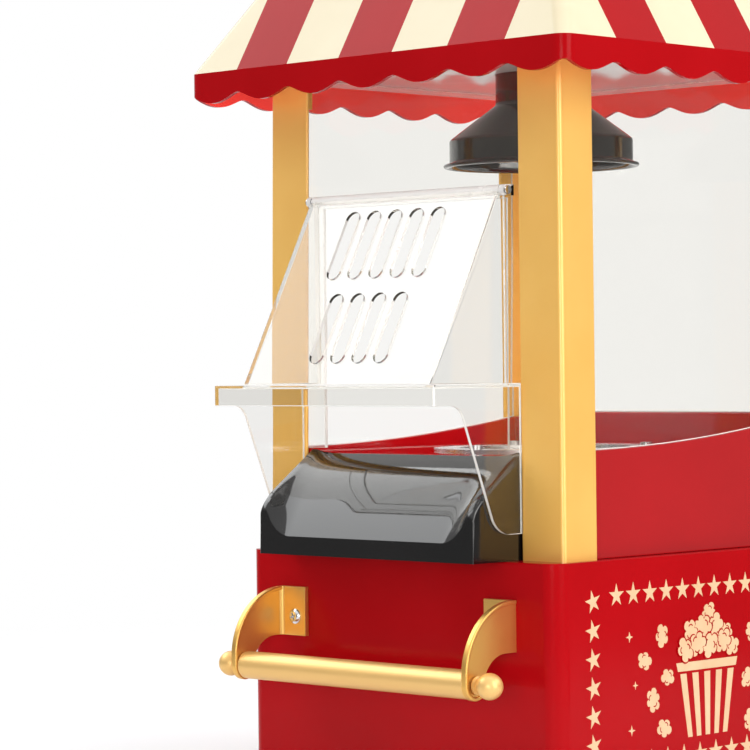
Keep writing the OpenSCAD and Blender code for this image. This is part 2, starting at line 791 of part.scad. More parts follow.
module outlet_hood() {
    panel_y = pivot_y - barrel_r + 1;
    color(clear) on_axis() difference() {
        union() {
            translate([-hood_half, pivot_y, pivot_z]) rotate([0, 90, 0])
                cylinder(r = barrel_r, h = 2 * hood_half);
            // slanted panel
            intersection() {
                translate([0, panel_y, hood_top_z - 1]) rotate([-panel_angle, 0, 0])
                    translate([-hood_half, 0, -panel_len - 10])
                        cube([2 * hood_half, hood_t, panel_len + 10]);
                translate([-hood_half, -hood_reach, hood_lip_z - hood_t])
                    cube([2 * hood_half, hood_reach, pivot_z - hood_lip_z + hood_t]);
            }
            // upper cheeks
            for (s = [0, 1]) mirror([s, 0, 0]) across(hood_half - hood_t, hood_half) polygon([
                [pivot_y + barrel_r - 0.4, pivot_z], [pivot_y + barrel_r - 0.4, hood_lip_z - hood_t],
                [-hood_foot_reach, hood_lip_z - hood_t], [panel_y, hood_top_z - 1.5], [pivot_y, pivot_z]
            ]);
            // lip, open over the chute
            difference() {
                translate([-hood_cheek_half, -hood_reach, hood_lip_z - hood_lip_h])
                    cube([2 * hood_cheek_half, hood_reach - cheek_back, hood_lip_h]);
                translate([-hood_cheek_half + hood_t, -hood_reach + hood_t, hood_lip_z - hood_lip_h - 1])
                    cube([2 * (hood_cheek_half - hood_t), hood_reach, hood_lip_h + 1 - hood_t]);
                translate([0, 0, hood_lip_z - hood_t - 1]) linear_extrude(hood_t + 2)
                    polygon([
                        [-hood_half + hood_t, -cheek_back + 1], [hood_half - hood_t, -cheek_back + 1],
                        [hood_half - hood_t, -hood_foot_reach + hood_t],
                        [-hood_half + hood_t, -hood_foot_reach + hood_t]
                    ]);
            }
            // lower cheeks
            for (s = [0, 1]) mirror([s, 0, 0])
                across(hood_cheek_half - hood_t, hood_cheek_half) cheek_outline();
        }
        translate([0, panel_y, hood_top_z - 1]) rotate([-panel_angle, 0, 0]) rotate([90, 0, 0])
            translate([0, -slot_start - slot_l / 2, -5]) {
                slot_row(slot_count, 0);
                translate([0, -slot_l - slot_row_gap, 0])
                    slot_row(slot_count - 1, (0.5 - slot_stagger) * slot_pitch);
            }
        for (s = [0, 1]) mirror([s, 0, 0]) translate([hood_half - 5, pivot_y, pivot_z])
            rotate([0, 90, 0]) cylinder(r = hinge_pin_r + run, h = 6);
    }
}

// ---- roof ----
module valance() {
    low = eave_z - valance_h - scallop_h;
    intersection() {
        translate([0, 0, low]) linear_extrude(valance_h + scallop_h + e) difference() {
            rounded_plan(2 * roof_half, 2 * roof_half, roof_corner_r);
            rounded_plan(2 * (roof_half - roof_t), 2 * (roof_half - roof_t), roof_corner_r - roof_t + 0.6);
        }
        union() for (a = [0, 90]) rotate([0, 0, a]) translate([0, roof_half + 1, 0]) rotate([90, 0, 0])
            linear_extrude(2 * roof_half + 2) {
                translate([-roof_half, low + scallop_h]) square([2 * roof_half, valance_h + 1]);
                for (i = [0:scallops - 1]) {
                    translate([(i - (scallops - 1) / 2) * scallop_w, low]) intersection() {
                        translate([0, scallop_arc]) circle(scallop_arc, $fn = 128);
                        translate([-scallop_w / 2, 0]) square([scallop_w, scallop_h + e]);
                    }
                }
            }
    }
}

module roof_solid(inset, below = 0) {
    hull() {
        translate([0, 0, eave_z - below]) linear_extrude(e)
            rounded_plan(2 * (roof_half - inset), 2 * (roof_half - inset), roof_corner_r, $fn = 32);
        translate([0, 0, roof_top_z - inset - e]) linear_extrude(e)
            rounded_plan(2 * roof_top_half - inset, 2 * roof_top_half - inset, roof_top_r, $fn = 32);
    }
}

module roof_canopy() {
    at = post_hole - tower_draw;
    color(red) on_axis() difference() {
        union() {
            valance();
            difference() {
                roof_solid(0);
                roof_solid(roof_t, e);
            }
            intersection() {
                roof_solid(0);
                four(at, at) translate([0, 0, eave_z]) cylinder(r = 5, h = roof_rise - 1);
            }
        }
        translate([0, 0, neck_top - 1]) cylinder(r = collar_in, h = roof_t + 2);
        four(at, at) translate([0, 0, eave_z - 1]) cylinder(r = thread_r, h = screw_grip + 2);
        ring_of(3, bell_screw_r, 90) translate([0, 0, neck_top - 1]) cylinder(r = pass_r, h = roof_t + 2);
    }
}

module filler_collar() {
    color(red) on_axis() translate([0, 0, roof_top_z]) difference() {
        tube(collar_out, collar_in, collar_h);
        ring_of(3, bell_screw_r, 90) translate([0, 0, -1]) cylinder(r = thread_r, h = bell_grip + 1);
    }
}

module filler_cap() {
    z0 = roof_top_z + gap;
    color(red) on_axis() translate([0, 0, z0]) rotate_extrude($fn = 96) polygon([
        [cap_in, 0], [cap_in + cap_t, 0], [cap_in + cap_t, cap_h - 2], [cap_in + cap_t - 2, cap_h],
        [0, cap_h], [0, cap_h - cap_t], [cap_in - 1.5, cap_h - cap_t], [cap_in, cap_h - cap_t - 1.5]
    ]);
}

module bell_baffle() {
    z1 = bell_z + bell_rim_h;
    z2 = z1 + bell_wall_h;
    z3 = z2 + bell_cone_h;
    color("#3b3a3c") on_axis() difference() {
        rotate_extrude($fn = 96) polygon([
            [bell_rim_r - bell_t, bell_z], [bell_rim_r, bell_z], [bell_rim_r, bell_z + bell_t],
            [bell_wall_r + 0.4, z1], [bell_wall_r, z2], [neck_r, z3], [neck_r, neck_top - bell_flange_t],
            [collar_out, neck_top - bell_flange_t], [collar_out, neck_top],
            [neck_r - bell_t, neck_top], [neck_r - bell_t, z3 - bell_t / 2],
            [bell_wall_r - bell_t, z2 - bell_t / 2], [bell_wall_r - bell_t, z1]
        ]);
        ring_of(3, bell_screw_r, 90)
            translate([0, 0, neck_top - bell_flange_t - 1]) cylinder(r = pass_r, h = bell_flange_t + 2);
    }
}

module bell_screws() {
    color(steel) on_axis() ring_of(3, bell_screw_r, 90)
        translate([0, 0, neck_top - bell_flange_t]) screw(bell_flange_t + roof_t + bell_grip - 1);
}

// ---- handle ----
module bracket_side() {
    outer_y = bar_y - boss_r;
    inner_y = bar_y + boss_r + 3;
    inner_z = flange_low - bracket_inner_r;
    boss_turn = asin((inner_z - bar_z) / boss_r);
    polygon(concat(
        round_corner([outer_y, bar_z], [outer_y, bracket_top], [front_y, bracket_top], bracket_r, 24),
        [[front_y, bracket_top], [front_y, flange_low]],
        round_corner([front_y, flange_low], [inner_y, flange_low], [inner_y, inner_z], bracket_inner_r, 16),
        [for (i = [0:24])
            let (a = boss_turn - i * (180 + boss_turn) / 24)
            [bar_y + boss_r * cos(a), bar_z + boss_r * sin(a)]]
    ));
}

module handle_bracket(s) {
    color(gold) on_axis() mirror([s < 0 ? 1 : 0, 0, 0]) difference() {
        union() {
            across(bracket_half - bracket_t, bracket_half) bracket_side();
            translate([bracket_half - flange_w, front_y - flange_t, flange_low])
                cube([flange_w - bracket_t, flange_t, flange_h]);
        }
        translate([0, bar_y, bar_z]) rotate([0, 90, 0]) cylinder(r = stud_r + run, h = 200);
        translate([bracket_screw_x, front_y - flange_t - 1, bracket_screw_z])
            rotate([-90, 0, 0]) cylinder(r = pass_r, h = flange_t + 2);
    }
}

module handle_bracket_left() handle_bracket(-1);
module handle_bracket_right() handle_bracket(1);

module handle_bar() {
    half = bracket_half - bracket_t;
    color(gold) on_axis() translate([0, bar_y, bar_z]) rotate([0, 90, 0]) {
        translate([0, 0, -half]) cylinder(r = bar_d / 2, h = 2 * half);
        translate([0, 0, -finial_x]) cylinder(r = stud_r, h = 2 * finial_x);
    }
}

module handle_finial(s) {
    color(gold) on_axis() mirror([s < 0 ? 1 : 0, 0, 0]) translate([0, bar_y, bar_z]) rotate([0, 90, 0])
        difference() {
            union() {
                translate([0, 0, finial_x]) sphere(finial_r);
                translate([0, 0, bracket_half]) cylinder(r = stud_r + 1.7, h = 3);
            }
            cylinder(r = stud_r + run, h = finial_x + run);
        }
}

module handle_finial_left() handle_finial(-1);
module handle_finial_right() handle_finial(1);

module bracket_screws() {
    color("#d8d8d8") on_axis() for (s = [-1, 1]) {
        translate([s * bracket_screw_x, front_y - flange_t, bracket_screw_z])
            rotate([-90, 0, 0]) screw(flange_t + screw_grip - 2, bracket_head_r);
    }
}

// ---- works ----
module popping_chamber() {
    color("#c9ccd0") on_axis() difference() {
        union() {
            translate([0, 0, chamber_floor_z])
                cylinder(r = chamber_r, h = chamber_depth + e);
            translate([0, 0, floor_top]) cylinder(r = flange_r, h = chamber_t);
        }
        translate([0, 0, chamber_floor_z + chamber_t])
            cylinder(r = chamber_r - chamber_t, h = chamber_depth + 10);
        ring_of(chamber_slots, chamber_r - chamber_t / 2)
            translate([0, 0, chamber_floor_z + 10]) rotate([40, 0, 0])
                cube([4 * chamber_t, 2, 14], center = true);
        ring_of(3, chamber_screw_r, 30)
            translate([0, 0, floor_top - 1]) cylinder(r = pass_r, h = chamber_t + 2);
    }
}

module chamber_screws() {
    color(steel) on_axis() ring_of(3, chamber_screw_r, 30)
        translate([0, 0, floor_top + chamber_t]) rotate([180, 0, 0]) screw(chamber_t + floor_t + 8);
}

module heater_housing() {
    pad_z = heater_z + 50;
    color("#8f9296") on_axis() difference() {
        union() {
            translate([0, 0, heater_top - heater_wall]) cylinder(r = heater_rim, h = heater_wall);
            translate([0, 0, heater_z]) cylinder(r = heater_r + heater_wall, h = heater_top - heater_z);
            translate([0, 0, heater_z]) cylinder(r = fan_flange_r, h = heater_wall);
            ring_of(3, fan_screw_r) translate([0, 0, heater_z]) cylinder(r = boss_screw_r, h = boss_depth);
            for (s = [-1, 1]) translate([s > 0 ? heater_r - 2 : -heater_r - 4, -9, pad_z - 9])
                cube([6, 18, 18]);
        }
        translate([0, 0, heater_z + heater_wall])
            cylinder(r = heater_r, h = heater_top - heater_z - 2 * heater_wall);
        translate([0, 0, heater_z - 1]) cylinder(r = fan_r - 1, h = heater_wall + 2);
        translate([0, 0, heater_top - heater_wall - 1]) cylinder(r = chamber_r + 0.4, h = heater_wall + 2);
        ring_of(3, fan_screw_r) translate([0, 0, heater_z - 1]) cylinder(r = thread_r, h = 8);
        ring_of(4, housing_screw_r, 45)
            translate([0, 0, heater_top - heater_wall - 1]) cylinder(r = pass_r, h = heater_wall + 2);
    }
}

module housing_screws() {
    color(steel) on_axis() ring_of(4, housing_screw_r, 45)
        translate([0, 0, heater_top - heater_wall]) screw(heater_wall + 8);
}

// two crossed sheets carry the winding at their outer edges
frame_half = fan_r - 8;
frame_low = heater_z + heater_wall;
frame_h = 24;

module heater_frame() {
    color("#c8b98a") on_axis() translate([0, 0, frame_low]) {
        for (a = [0, 90]) rotate([0, 0, a]) {
            translate([-frame_half, -0.6, 0]) cube([2 * frame_half, 1.2, frame_h]);
            for (s = [-1, 1]) translate([s > 0 ? frame_half - 4 : -heater_r + 1, -0.6, 0])
                cube([heater_r - frame_half + 3, 1.2, 3]);
        }
    }
}

wire_r = 0.9;
coil_turns = 4;
coil_steps = 36;
coil_sides = 8;
coil_rise = 4.2;

function coil_point(i, a) =
    let (t = i * 360 / coil_steps, r = frame_half + gap + wire_r + wire_r * cos(a))
    [r * cos(t), r * sin(t), frame_low + 5 + coil_rise * t / 360 + wire_r * sin(a)];

module heater_coil() {
    rings = coil_turns * coil_steps;
    points = [for (i = [0:rings], j = [0:coil_sides - 1]) coil_point(i, j * 360 / coil_sides)];
    walls = [for (i = [0:rings - 1], j = [0:coil_sides - 1])
        let (a = i * coil_sides + j, b = i * coil_sides + (j + 1) % coil_sides)
        [a, b, b + coil_sides, a + coil_sides]];
    ends = [
        [for (j = [coil_sides - 1:-1:0]) j],
        [for (j = [0:coil_sides - 1]) rings * coil_sides + j]
    ];
    color("#7a6f66") on_axis() polyhedron(points, concat(walls, ends), convexity = 6);
}

module thermostat() {
    color(black) on_axis() translate([heater_r + 4, 0, heater_z + 50]) rotate([0, 90, 0]) {
        cylinder(r = 7.5, h = 5);
        translate([0, 0, 5]) cylinder(r = 5, h = 3);
        for (s = [-1, 1]) translate([-0.4, s * 4 - 1.5, 5]) cube([0.8, 3, 9]);
    }
}

module thermal_fuse() {
    color(steel) on_axis() translate([-heater_r - 6, 0, heater_z + 50]) rotate([90, 0, 0]) {
        translate([0, 0, -5.5]) cylinder(r = 2, h = 11);
        translate([0, 0, -14]) cylinder(r = 0.5, h = 28);
    }
}

module fan_housing() {
    color(black) on_axis() difference() {
        union() {
            translate([0, 0, fan_z]) cylinder(r = heater_r - 1 + fan_wall, h = fan_h);
            translate([0, 0, heater_z - 2]) cylinder(r = fan_flange_r, h = 2);
        }
        translate([0, 0, fan_z + fan_wall]) cylinder(r = heater_r - 1, h = fan_h);
        translate([0, 0, fan_z - 1]) cylinder(r = motor_r + 12, h = fan_wall + 2);
        ring_of(3, fan_screw_r) translate([0, 0, heater_z - 3]) cylinder(r = pass_r, h = 4);
        ring_of(3, motor_r + 18, 60) translate([0, 0, fan_z - 1]) cylinder(r = thread_r, h = fan_wall + 2);
    }
}

module fan_screws() {
    color(steel) on_axis() ring_of(3, fan_screw_r) translate([0, 0, heater_z - 2]) screw(8);
}

module fan_impeller() {
    z0 = fan_z + fan_wall + 4;
    color("#d7d3c8") on_axis() translate([0, 0, z0]) difference() {
        union() {
            cylinder(r = fan_r, h = 1.6);
            cylinder(r = 6, h = 13);
            for (i = [0:fan_blades - 1]) rotate([0, 0, i * 360 / fan_blades])
                translate([14, -0.7, 1]) rotate([0, 0, 12]) cube([fan_r - 17, 1.4, 12]);
        }
        translate([0, 0, -1]) cylinder(r = shaft_r, h = 20);
        ring_of(6, 10) translate([0, 0, -1]) cylinder(r = 2, h = 4);
    }
}

module motor_can() {
    color(steel) on_axis() difference() {
        union() {
            translate([0, 0, motor_z]) cylinder(r = motor_r, h = motor_h);
            translate([0, 0, motor_z - 1.5]) cylinder(r = 5, h = 2);
        }
        translate([0, 0, motor_z + 2]) cylinder(r = shaft_r + run, h = motor_h + 2);
        ring_of(2, motor_r - 5) translate([0, 0, bracket_plate_z - 6]) cylinder(r = thread_r, h = 8);
    }
}

module motor_shaft() {
    color("#e2e4e6") on_axis() translate([0, 0, motor_z + 2 + gap])
        cylinder(r = shaft_r, h = motor_h + 2 + fan_wall + 4 + 13);
}

module motor_bracket() {
    color(steel) on_axis() translate([0, 0, bracket_plate_z]) difference() {
        union() {
            cylinder(r = motor_r, h = 2);
            for (i = [0:2]) rotate([0, 0, 60 + i * 120]) translate([0, -5, 0]) cube([motor_r + 23, 10, 2]);
        }
        translate([0, 0, -1]) cylinder(r = shaft_r + 1, h = 4);
        ring_of(2, motor_r - 5) translate([0, 0, -1]) cylinder(r = pass_r, h = 4);
        ring_of(3, motor_r + 18, 60) translate([0, 0, -1]) cylinder(r = pass_r, h = 4);
    }
}

module motor_screws() {
    color(steel) on_axis() {
        ring_of(2, motor_r - 5) translate([0, 0, bracket_plate_z + 2]) rotate([180, 0, 0]) screw(7);
        ring_of(3, motor_r + 18, 60) translate([0, 0, bracket_plate_z]) screw(2 + fan_wall);
    }
}

module rectifier_board() {
    color("#2f6b3a") on_axis() translate([board_x, board_y, cover_z + standoff_h]) {
        translate([-board_w / 2, -board_d / 2, 0]) cube([board_w, board_d, board_t]);
        for (i = [0:3]) translate([(i - 1) * board_w / 5, 0, board_t]) {
            translate([-2, 0, 0]) cube([4, board_d / 2 - 4, 4.5]);
        }
        translate([-board_w / 3, -board_d / 3, board_t]) cylinder(r = 2.4, h = 5);
    }
}

module terminal_block() {
    color("#ded9c8") on_axis() translate([board_x, block_y, cover_z]) difference() {
        translate([-block_w / 2, -block_d / 2, 0]) cube([block_w, block_d, block_h]);
        for (i = [-1:1]) translate([0, i * block_d * 0.3, block_h / 3]) {
            translate([-block_w / 2 - 1, 0, 2.5]) rotate([0, 90, 0]) cylinder(r = 2, h = block_w + 2);
            cylinder(r = 2.2, h = block_h);
        }
    }
}

base_housing();
bottom_cover();
rubber_feet();
cover_screws();
cord_gland();
gland_nut();
switch_frame();
switch_rocker();
hopper_deck();
deck_screws();
popcorn_chute();
chute_screws();
post_front_left();
post_front_right();
post_back_left();
post_back_right();
post_screws();
roof_screws();
window_left();
window_right();
window_back();
window_front();
ceiling_plate();
roof_canopy();
filler_collar();
filler_cap();
bell_baffle();
bell_screws();
outlet_hood();
hood_hinge_pins();
handle_bar();
handle_finial_left();
handle_finial_right();
handle_bracket_left();
handle_bracket_right();
bracket_screws();
popping_chamber();
chamber_screws();
heater_housing();
housing_screws();
heater_frame();
heater_coil();
thermostat();
thermal_fuse();
fan_housing();
fan_screws();
fan_impeller();
motor_can();
motor_shaft();
motor_bracket();
motor_screws();
rectifier_board();
terminal_block();
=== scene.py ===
import json
import math

import bmesh
import bpy
from mathutils import Matrix, Vector


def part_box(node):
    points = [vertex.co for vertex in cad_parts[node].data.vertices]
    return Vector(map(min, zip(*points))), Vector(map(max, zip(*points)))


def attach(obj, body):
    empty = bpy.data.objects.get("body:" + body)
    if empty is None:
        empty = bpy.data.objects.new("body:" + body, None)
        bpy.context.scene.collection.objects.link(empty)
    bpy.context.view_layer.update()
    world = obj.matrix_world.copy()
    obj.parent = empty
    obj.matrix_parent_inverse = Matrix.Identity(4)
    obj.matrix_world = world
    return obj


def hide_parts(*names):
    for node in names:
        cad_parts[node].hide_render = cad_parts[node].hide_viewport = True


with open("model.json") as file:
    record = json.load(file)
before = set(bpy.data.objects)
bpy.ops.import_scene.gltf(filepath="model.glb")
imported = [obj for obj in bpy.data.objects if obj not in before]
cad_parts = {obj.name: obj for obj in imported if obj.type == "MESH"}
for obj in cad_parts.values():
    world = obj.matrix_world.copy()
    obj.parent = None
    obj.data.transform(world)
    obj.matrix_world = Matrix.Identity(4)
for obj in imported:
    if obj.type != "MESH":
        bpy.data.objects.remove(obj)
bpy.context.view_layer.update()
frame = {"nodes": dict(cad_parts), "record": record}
scene = bpy.context.scene
mm = 0.001
slotOf = {part["node"]: part["material_slot"] for part in frame["record"]["subparts"]}
bodyOf = {node: body for body, nodes in frame["record"]["behaviour"]["bodies"].items() for node in nodes}
baseLow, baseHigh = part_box("base_housing")
axisY = (baseLow.y + baseHigh.y) / 2  # the tower stands round this line, and x is 0 on it
print("frame loaded:", len(frame["nodes"]), "nodes")


# camera, lights and floor
camera = {
    "place": (1.00859, -1.12343, 0.20703),
    "direction": (-0.7038, 0.7104, -0.0033),
    "roll": -0.66,
    "lens": 143.9,
}

studio = {
    "floorColor": (0.86, 0.86, 0.855),
    "floorRadius": 1.1,
    "floorFade": (0.35, 1.0),  # from where to where the floor fades into the white round it
    "worldColor": (0.93, 0.95, 1.0),
    "worldLight": 0.62,
    "sideGlow": 0.25,  # how bright the room's sides look in gloss, against its ceiling
    "backGlow": 0.6,  # how much brighter the paper behind the machine looks in gloss
    "backFrom": (-0.84, 0.54, 0),  # where that paper stands
    "backNear": (0.78, 0.90),  # how closely a direction points there, from its faint edge to its full glow
    "ceilingFrom": (0.12, 0.62),  # heights of a direction between which side turns to ceiling
    "lamps": {  # place, aim, width, height, power, colour
        "key": ((1.45, -0.12, 0.62), (0, 0, 0.2), 0.8, 1.2, 12.5, (1.0, 0.985, 0.96)),
        "front": ((0.75, -1.3, 0.27), (0, 0, 0.27), 0.5, 0.45, 4.5, (1.0, 0.99, 0.97)),
        "top": ((0.1, 0.1, 1.7), (0, 0, 0.2), 1.2, 1.2, 5, (1.0, 1.0, 1.0)),
        "left": ((-1.2, -0.45, 1.3), (0, -0.1, 0.15), 1.6, 0.9, 14, (0.97, 0.99, 1.0)),
        "back": ((-0.5, 1.3, 1.35), (0, 0, 0.3), 0.8, 0.8, 5, (1.0, 1.0, 1.0)),
        "side": ((1.1, 1.05, 1.15), (0, 0, 0.2), 0.8, 0.6, 5, (1.0, 0.99, 0.97)),
    },
}


def makeCamera():
    data = bpy.data.cameras.new("camera")
    data.lens = camera["lens"]
    data.sensor_width = 36
    data.clip_start = 0.05
    data.clip_end = 50
    eye = bpy.data.objects.new("camera", data)
    turn = Vector(camera["direction"]).to_track_quat("-Z", "Y").to_matrix().to_4x4()
    roll = Matrix.Rotation(math.radians(camera["roll"]), 4, "Z")
    eye.matrix_world = Matrix.Translation(camera["place"]) @ turn @ roll
    scene.collection.objects.link(eye)
    scene.camera = eye


def makeLamps():
    for name, (place, aim, wide, high, power, color) in studio["lamps"].items():
        data = bpy.data.lights.new(name, "AREA")
        data.shape = "RECTANGLE"
        data.size = wide
        data.size_y = high
        data.energy = power
        data.color = color
        lamp = bpy.data.objects.new(name, data)
        lamp.location = place
        lamp.rotation_mode = "QUATERNION"
        lamp.rotation_quaternion = (Vector(aim) - Vector(place)).to_track_quat("-Z", "Y")
        scene.collection.objects.link(lamp)


def feed(tree, node, inputs):
    # each input takes a value of its own, or the output of another node
    for key, value in inputs.items():
        if isinstance(value, bpy.types.NodeSocket):
            tree.links.new(value, node.inputs[key])
        else:
            node.inputs[key].default_value = value


def addNode(tree, kind, inputs=None, **settings):
    node = tree.nodes.new(kind)
    for key, value in settings.items():
        setattr(node, key, value)
    feed(tree, node, inputs or {})
    return node


def newMaterial(name):
    material = bpy.data.materials.new(name)
    material.use_nodes = True
    tree = material.node_tree
    return material, tree, tree.nodes["Principled BSDF"]


def seenDirectly(tree):
    # 1 where a ray comes from the camera, a mirror or a clear piece
    path = tree.nodes.new("ShaderNodeLightPath").outputs
    first = addNode(tree, "ShaderNodeMath", {0: path["Is Camera Ray"], 1: path["Is Glossy Ray"]},
                    operation="ADD")
    second = addNode(tree, "ShaderNodeMath", {0: first.outputs[0], 1: path["Is Transmission Ray"]},
                     operation="ADD", use_clamp=True)
    return second.outputs[0]


def makeWorld():
    world = bpy.data.worlds.new("studio")
    world.use_nodes = True
    scene.world = world
    tree = world.node_tree
    light = tree.nodes["Background"]
    feed(tree, light, {"Color": (*studio["worldColor"], 1), "Strength": studio["worldLight"]})
    # what gloss mirrors: a white ceiling over dimmer sides, and bright paper behind the machine
    place = tree.nodes.new("ShaderNodeTexCoord").outputs["Generated"]
    parts = addNode(tree, "ShaderNodeSeparateXYZ", {0: place})
    low, high = studio["ceilingFrom"]
    glow = addNode(tree, "ShaderNodeMapRange", {
        "Value": parts.outputs["Z"], "From Min": low, "From Max": high,
        "To Min": studio["sideGlow"], "To Max": 1.0}, interpolation_type="SMOOTHSTEP")
    toward = addNode(tree, "ShaderNodeVectorMath", {0: place, 1: studio["backFrom"]},
                     operation="DOT_PRODUCT")
    near, far = studio["backNear"]
    paper = addNode(tree, "ShaderNodeMapRange", {
        "Value": toward.outputs["Value"], "From Min": near, "From Max": far,
        "To Min": 0.0, "To Max": studio["backGlow"]}, interpolation_type="SMOOTHSTEP")
    both = addNode(tree, "ShaderNodeMath", {0: glow.outputs["Result"], 1: paper.outputs["Result"]},
                   operation="ADD")
    capped = addNode(tree, "ShaderNodeMath", {0: both.outputs[0], 1: 1.0}, operation="MINIMUM")
    path = tree.nodes.new("ShaderNodeLightPath").outputs
    mirrored = addNode(tree, "ShaderNodeMath", {0: path["Glossy Depth"], 1: 1.0}, operation="MINIMUM")
    strength = addNode(tree, "ShaderNodeMix", {0: mirrored.outputs[0], 2: 1.0, 3: capped.outputs[0]},
                       data_type="FLOAT")
    shown = addNode(tree, "ShaderNodeBackground", {"Color": (1, 1, 1, 1), "Strength": strength.outputs[0]})
    mix = addNode(tree, "ShaderNodeMixShader",
                  {0: seenDirectly(tree), 1: light.outputs[0], 2: shown.outputs[0]})
    feed(tree, tree.nodes["World Output"], {"Surface": mix.outputs[0]})


def makeFloor():
    bm = bmesh.new()
    bmesh.ops.create_circle(bm, cap_ends=True, segments=64, radius=studio["floorRadius"])
    mesh = bpy.data.meshes.new("floor")
    bm.to_mesh(mesh)
    bm.free()
    floor = bpy.data.objects.new("floor", mesh)
    scene.collection.objects.link(floor)
    material, tree, shader = newMaterial("pale_floor")
    feed(tree, shader, {"Roughness": 0.6, "Base Color": (*studio["floorColor"], 1)})
    place = tree.nodes.new("ShaderNodeTexCoord").outputs["Object"]
    distance = addNode(tree, "ShaderNodeVectorMath", {0: place}, operation="LENGTH")
    near, far = studio["floorFade"]
    fade = addNode(tree, "ShaderNodeMapRange", {
        "Value": distance.outputs["Value"], "From Min": near, "From Max": far},
        interpolation_type="SMOOTHSTEP")
    clear = tree.nodes.new("ShaderNodeBsdfTransparent")
    mix = addNode(tree, "ShaderNodeMixShader",
                  {0: fade.outputs["Result"], 1: shader.outputs[0], 2: clear.outputs[0]})
    feed(tree, tree.nodes["Material Output"], {"Surface": mix.outputs[0]})
    mesh.materials.append(material)


# node groups that several materials share
def newGroup(name, inputs, outputs):
    group = bpy.data.node_groups.new(name, "ShaderNodeTree")
    for label, kind, value in inputs:
        socket = group.interface.new_socket(label, in_out="INPUT", socket_type=kind)
        if value is not None:
            socket.default_value = value
    for label, kind in outputs:
        group.interface.new_socket(label, in_out="OUTPUT", socket_type=kind)
    return group, group.nodes.new("NodeGroupInput"), group.nodes.new("NodeGroupOutput")


def makeSmudges():
    # soft patches where hands and dust have dulled a glossy surface
    group, start, end = newGroup("smudges", [
        ("Vector", "NodeSocketVector", None), ("Scale", "NodeSocketFloat", 30.0),
        ("Clean", "NodeSocketFloat", 0.1), ("Dull", "NodeSocketFloat", 0.2),
    ], [("Roughness", "NodeSocketFloat")])
    patches = addNode(group, "ShaderNodeTexNoise", {
        "Vector": start.outputs["Vector"], "Scale": start.outputs["Scale"],
        "Detail": 5.0, "Roughness": 0.62, "Distortion": 0.4})
    edge = addNode(group, "ShaderNodeMapRange", {
        "Value": patches.outputs["Fac"], "From Min": 0.42, "From Max": 0.72},
        interpolation_type="SMOOTHSTEP")
    mix = addNode(group, "ShaderNodeMapRange", {
        "Value": edge.outputs["Result"], "To Min": start.outputs["Clean"], "To Max": start.outputs["Dull"]})
    feed(group, end, {"Roughness": mix.outputs["Result"]})
    return group


def makeGrain():
    # the relief of a surface: a slow ripple with a fine grain on it
    group, start, end = newGroup("grain", [
        ("Vector", "NodeSocketVector", None), ("Ripple Scale", "NodeSocketFloat", 60.0),
        ("Grain Scale", "NodeSocketFloat", 2500.0), ("Grain Share", "NodeSocketFloat", 0.3),
    ], [("Height", "NodeSocketFloat")])
    vector = start.outputs["Vector"]
    ripple = addNode(group, "ShaderNodeTexNoise", {
        "Vector": vector, "Scale": start.outputs["Ripple Scale"], "Detail": 2.0, "Roughness": 0.5})
    fine = addNode(group, "ShaderNodeTexNoise", {
        "Vector": vector, "Scale": start.outputs["Grain Scale"], "Detail": 3.0, "Roughness": 0.7})
    mix = addNode(group, "ShaderNodeMix", {
        0: start.outputs["Grain Share"], 2: ripple.outputs["Fac"], 3: fine.outputs["Fac"]},
        data_type="FLOAT")
    feed(group, end, {"Height": mix.outputs[0]})
    return group


def makeTint():
    # a colour that drifts slowly between two shades
    group, start, end = newGroup("tint", [
        ("Vector", "NodeSocketVector", None), ("Scale", "NodeSocketFloat", 8.0),
        ("Shade", "NodeSocketColor", (0.1, 0.1, 0.1, 1)), ("Light", "NodeSocketColor", (0.2, 0.2, 0.2, 1)),
    ], [("Color", "NodeSocketColor")])
    noise = addNode(group, "ShaderNodeTexNoise", {
        "Vector": start.outputs["Vector"], "Scale": start.outputs["Scale"],
        "Detail": 4.0, "Roughness": 0.55})
    spread = addNode(group, "ShaderNodeMapRange",
                     {"Value": noise.outputs["Fac"], "From Min": 0.3, "From Max": 0.7})
    mix = addNode(group, "ShaderNodeMix", {
        0: spread.outputs["Result"], 6: start.outputs["Shade"], 7: start.outputs["Light"]},
        data_type="RGBA")
    feed(group, end, {"Color": mix.outputs[2]})
    return group


smudges = makeSmudges()
grain = makeGrain()
tint = makeTint()


# two reliefs that several finishes have
moulded = {"ripple": 45, "grain": 1800, "grainShare": 0.25, "relief": 0.04, "depth": 0.0004}
brushed = {"ripple": 60, "grain": 4200, "grainShare": 0.8, "relief": 0.12, "depth": 0.0002}
smudgeScale = 1.7  # smudges are this much smaller than the patches of the two shades

